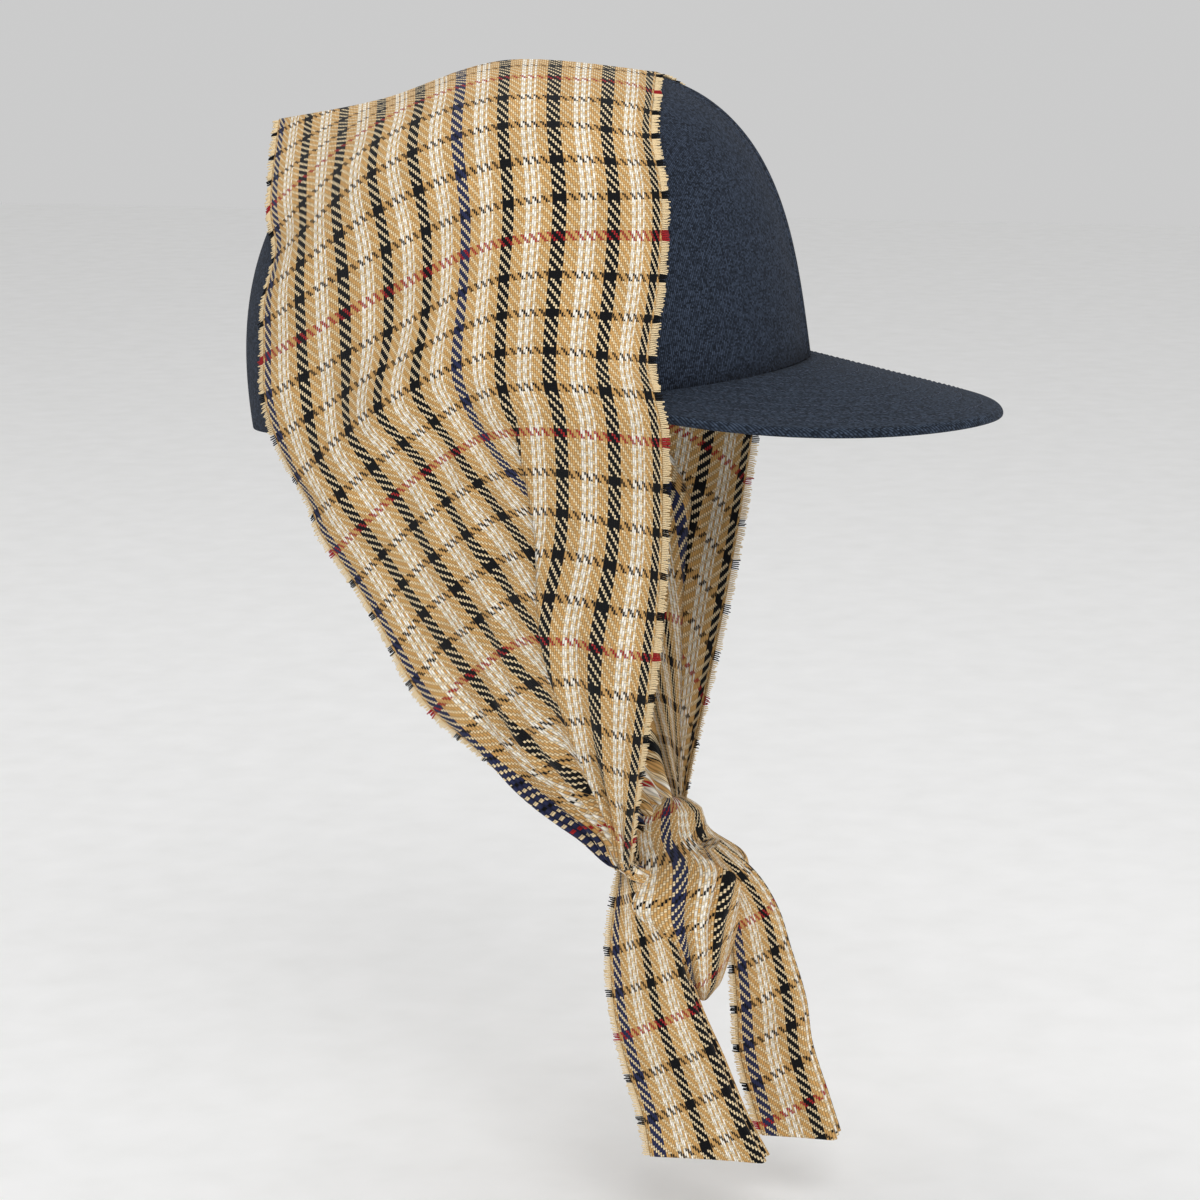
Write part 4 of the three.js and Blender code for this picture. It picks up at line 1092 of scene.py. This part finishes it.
class SCARF_OT_tails(bpy.types.Operator):
    """Hangs the two free ends of the scarf, folded to and fro, with their frayed edges"""
    bl_idname = "scarf.tails"
    bl_label = "Tails"
    bl_options = {"REGISTER", "UNDO"}

    def execute(self, context):
        settings = context.scene.scarf_finish
        flannel = made_once("wool_flannel_twill_check", lambda: wool_flannel_check(settings))
        yarn = made_once("wool_yarn_frayed_weft", lambda: frayed_weft(settings))
        for seed, side, first_bar, lean in ((3, "right", 17.5, 0.36), (6, "left", 19.8, 0.5)):
            points, share, along = tail_surface(side, lean)
            along = along + first_bar * settings.bar_pitch
            uv = np.stack([settings.cloth_width * (1 - share), along], -1)
            piece = sheet_of(f"scarf_cloth_tail_{side}", points, uv)
            thicken(piece, settings.cloth_wall, 0)
            finish(piece, flannel, "check_flannel", f"scarf_tail_{side}")
            outer = fringe(f"fringe_tail_{side}_outer", points[:, 0], points[:, 2], uv[:, 0], settings, seed)
            inner = fringe(f"fringe_tail_{side}_inner", points[:, -1], points[:, -3], uv[:, -1], settings,
                           seed + 1)
            for threads in (outer, inner):
                finish(threads, yarn, "check_flannel")
        return {"FINISHED"}


class CAP_OT_stage(bpy.types.Operator):
    """Sets the floor, the soft lights and the camera"""
    bl_idname = "cap.stage"
    bl_label = "Stage"
    bl_options = {"REGISTER", "UNDO"}

    def execute(self, context):
        deselect()
        bpy.ops.mesh.primitive_plane_add(size=8, location=(0, 0, -0.305))
        bpy.ops.object.transform_apply(location=True, rotation=True, scale=True)
        floor = bpy.context.object
        floor.name = "studio_floor"
        floor.data.materials.append(spun_yarn(
            "matt_paper_floor", linear("F4F4F3"), linear("FFFFFF"), 40, 0.02 * MM, Roughness=0.9))
        world = bpy.data.worlds.new("studio")
        context.scene.world = world
        world.use_nodes = True
        world.node_tree.nodes["Background"].inputs[0].default_value = (1, 1, 1, 1)
        world.node_tree.nodes["Background"].inputs[1].default_value = 0.6
        for name, place, size, power in (
                ("key", (-1.5, -0.7, 1.3), 1.2, 15), ("fill", (-0.6, -2.0, 0.5), 1.5, 3.5),
                ("top", (0.2, 0.5, 1.9), 1.5, 9)):
            bpy.ops.object.light_add(type="AREA", location=place)
            light = bpy.context.object
            light.name = f"soft_{name}"
            light.data.size = size
            light.data.energy = power
            light.rotation_euler = (mathutils.Vector(CAMERA_TARGET) - light.location).to_track_quat(
                "-Z", "Y").to_euler()
        back = mathutils.Vector((
            math.cos(CAMERA_ELEVATION) * math.sin(CAMERA_AZIMUTH),
            -math.cos(CAMERA_ELEVATION) * math.cos(CAMERA_AZIMUTH),
            math.sin(CAMERA_ELEVATION)))
        target = mathutils.Vector(CAMERA_TARGET)
        bpy.ops.object.camera_add(location=target + back * CAMERA_DISTANCE)
        camera = bpy.context.object
        camera.rotation_euler = (-back).to_track_quat("-Z", "Y").to_euler()
        camera.data.sensor_width = SENSOR_MM
        camera.data.lens = CAMERA_PX_PER_M * CAMERA_DISTANCE / IMAGE_PX * SENSOR_MM
        camera.data.shift_x = (IMAGE_PX / 2 - TARGET_PX[0]) / IMAGE_PX
        camera.data.shift_y = (TARGET_PX[1] - IMAGE_PX / 2) / IMAGE_PX
        context.scene.camera = camera
        context.scene.view_settings.view_transform = "Standard"
        return {"FINISHED"}


class CAP_PT_build(bpy.types.Panel):
    """Sizes, colours and one button for each group of pieces"""
    bl_idname = "CAP_PT_build"
    bl_label = "Cap and scarf"
    bl_space_type = "VIEW_3D"
    bl_region_type = "UI"
    bl_category = "Cap"

    def draw(self, context):
        for title, settings in (("Cap", context.scene.cap_finish), ("Scarf", context.scene.scarf_finish)):
            box = self.layout.box()
            box.label(text=title)
            for field in settings.__annotations__:
                box.prop(settings, field)
        for operator in OPERATORS:
            self.layout.operator(operator.bl_idname)


OPERATORS = (CAP_OT_crown, CAP_OT_sweatband, CAP_OT_visor, SCARF_OT_drape, SCARF_OT_knot, SCARF_OT_tails,
             CAP_OT_stage)
CLASSES = (CapFinish, ScarfFinish, *OPERATORS, CAP_PT_build)


def register():
    for each in CLASSES:
        bpy.utils.register_class(each)
    bpy.types.Scene.cap_finish = bpy.props.PointerProperty(type=CapFinish)
    bpy.types.Scene.scarf_finish = bpy.props.PointerProperty(type=ScarfFinish)


def unregister():
    del bpy.types.Scene.scarf_finish
    del bpy.types.Scene.cap_finish
    for each in reversed(CLASSES):
        bpy.utils.unregister_class(each)


def main():
    register()
    bpy.ops.cap.crown()
    bpy.ops.cap.sweatband()
    bpy.ops.cap.visor()
    bpy.ops.scarf.drape()
    bpy.ops.scarf.knot()
    bpy.ops.scarf.tails()
    bpy.ops.cap.stage()


if __name__ == "__main__":
    main()
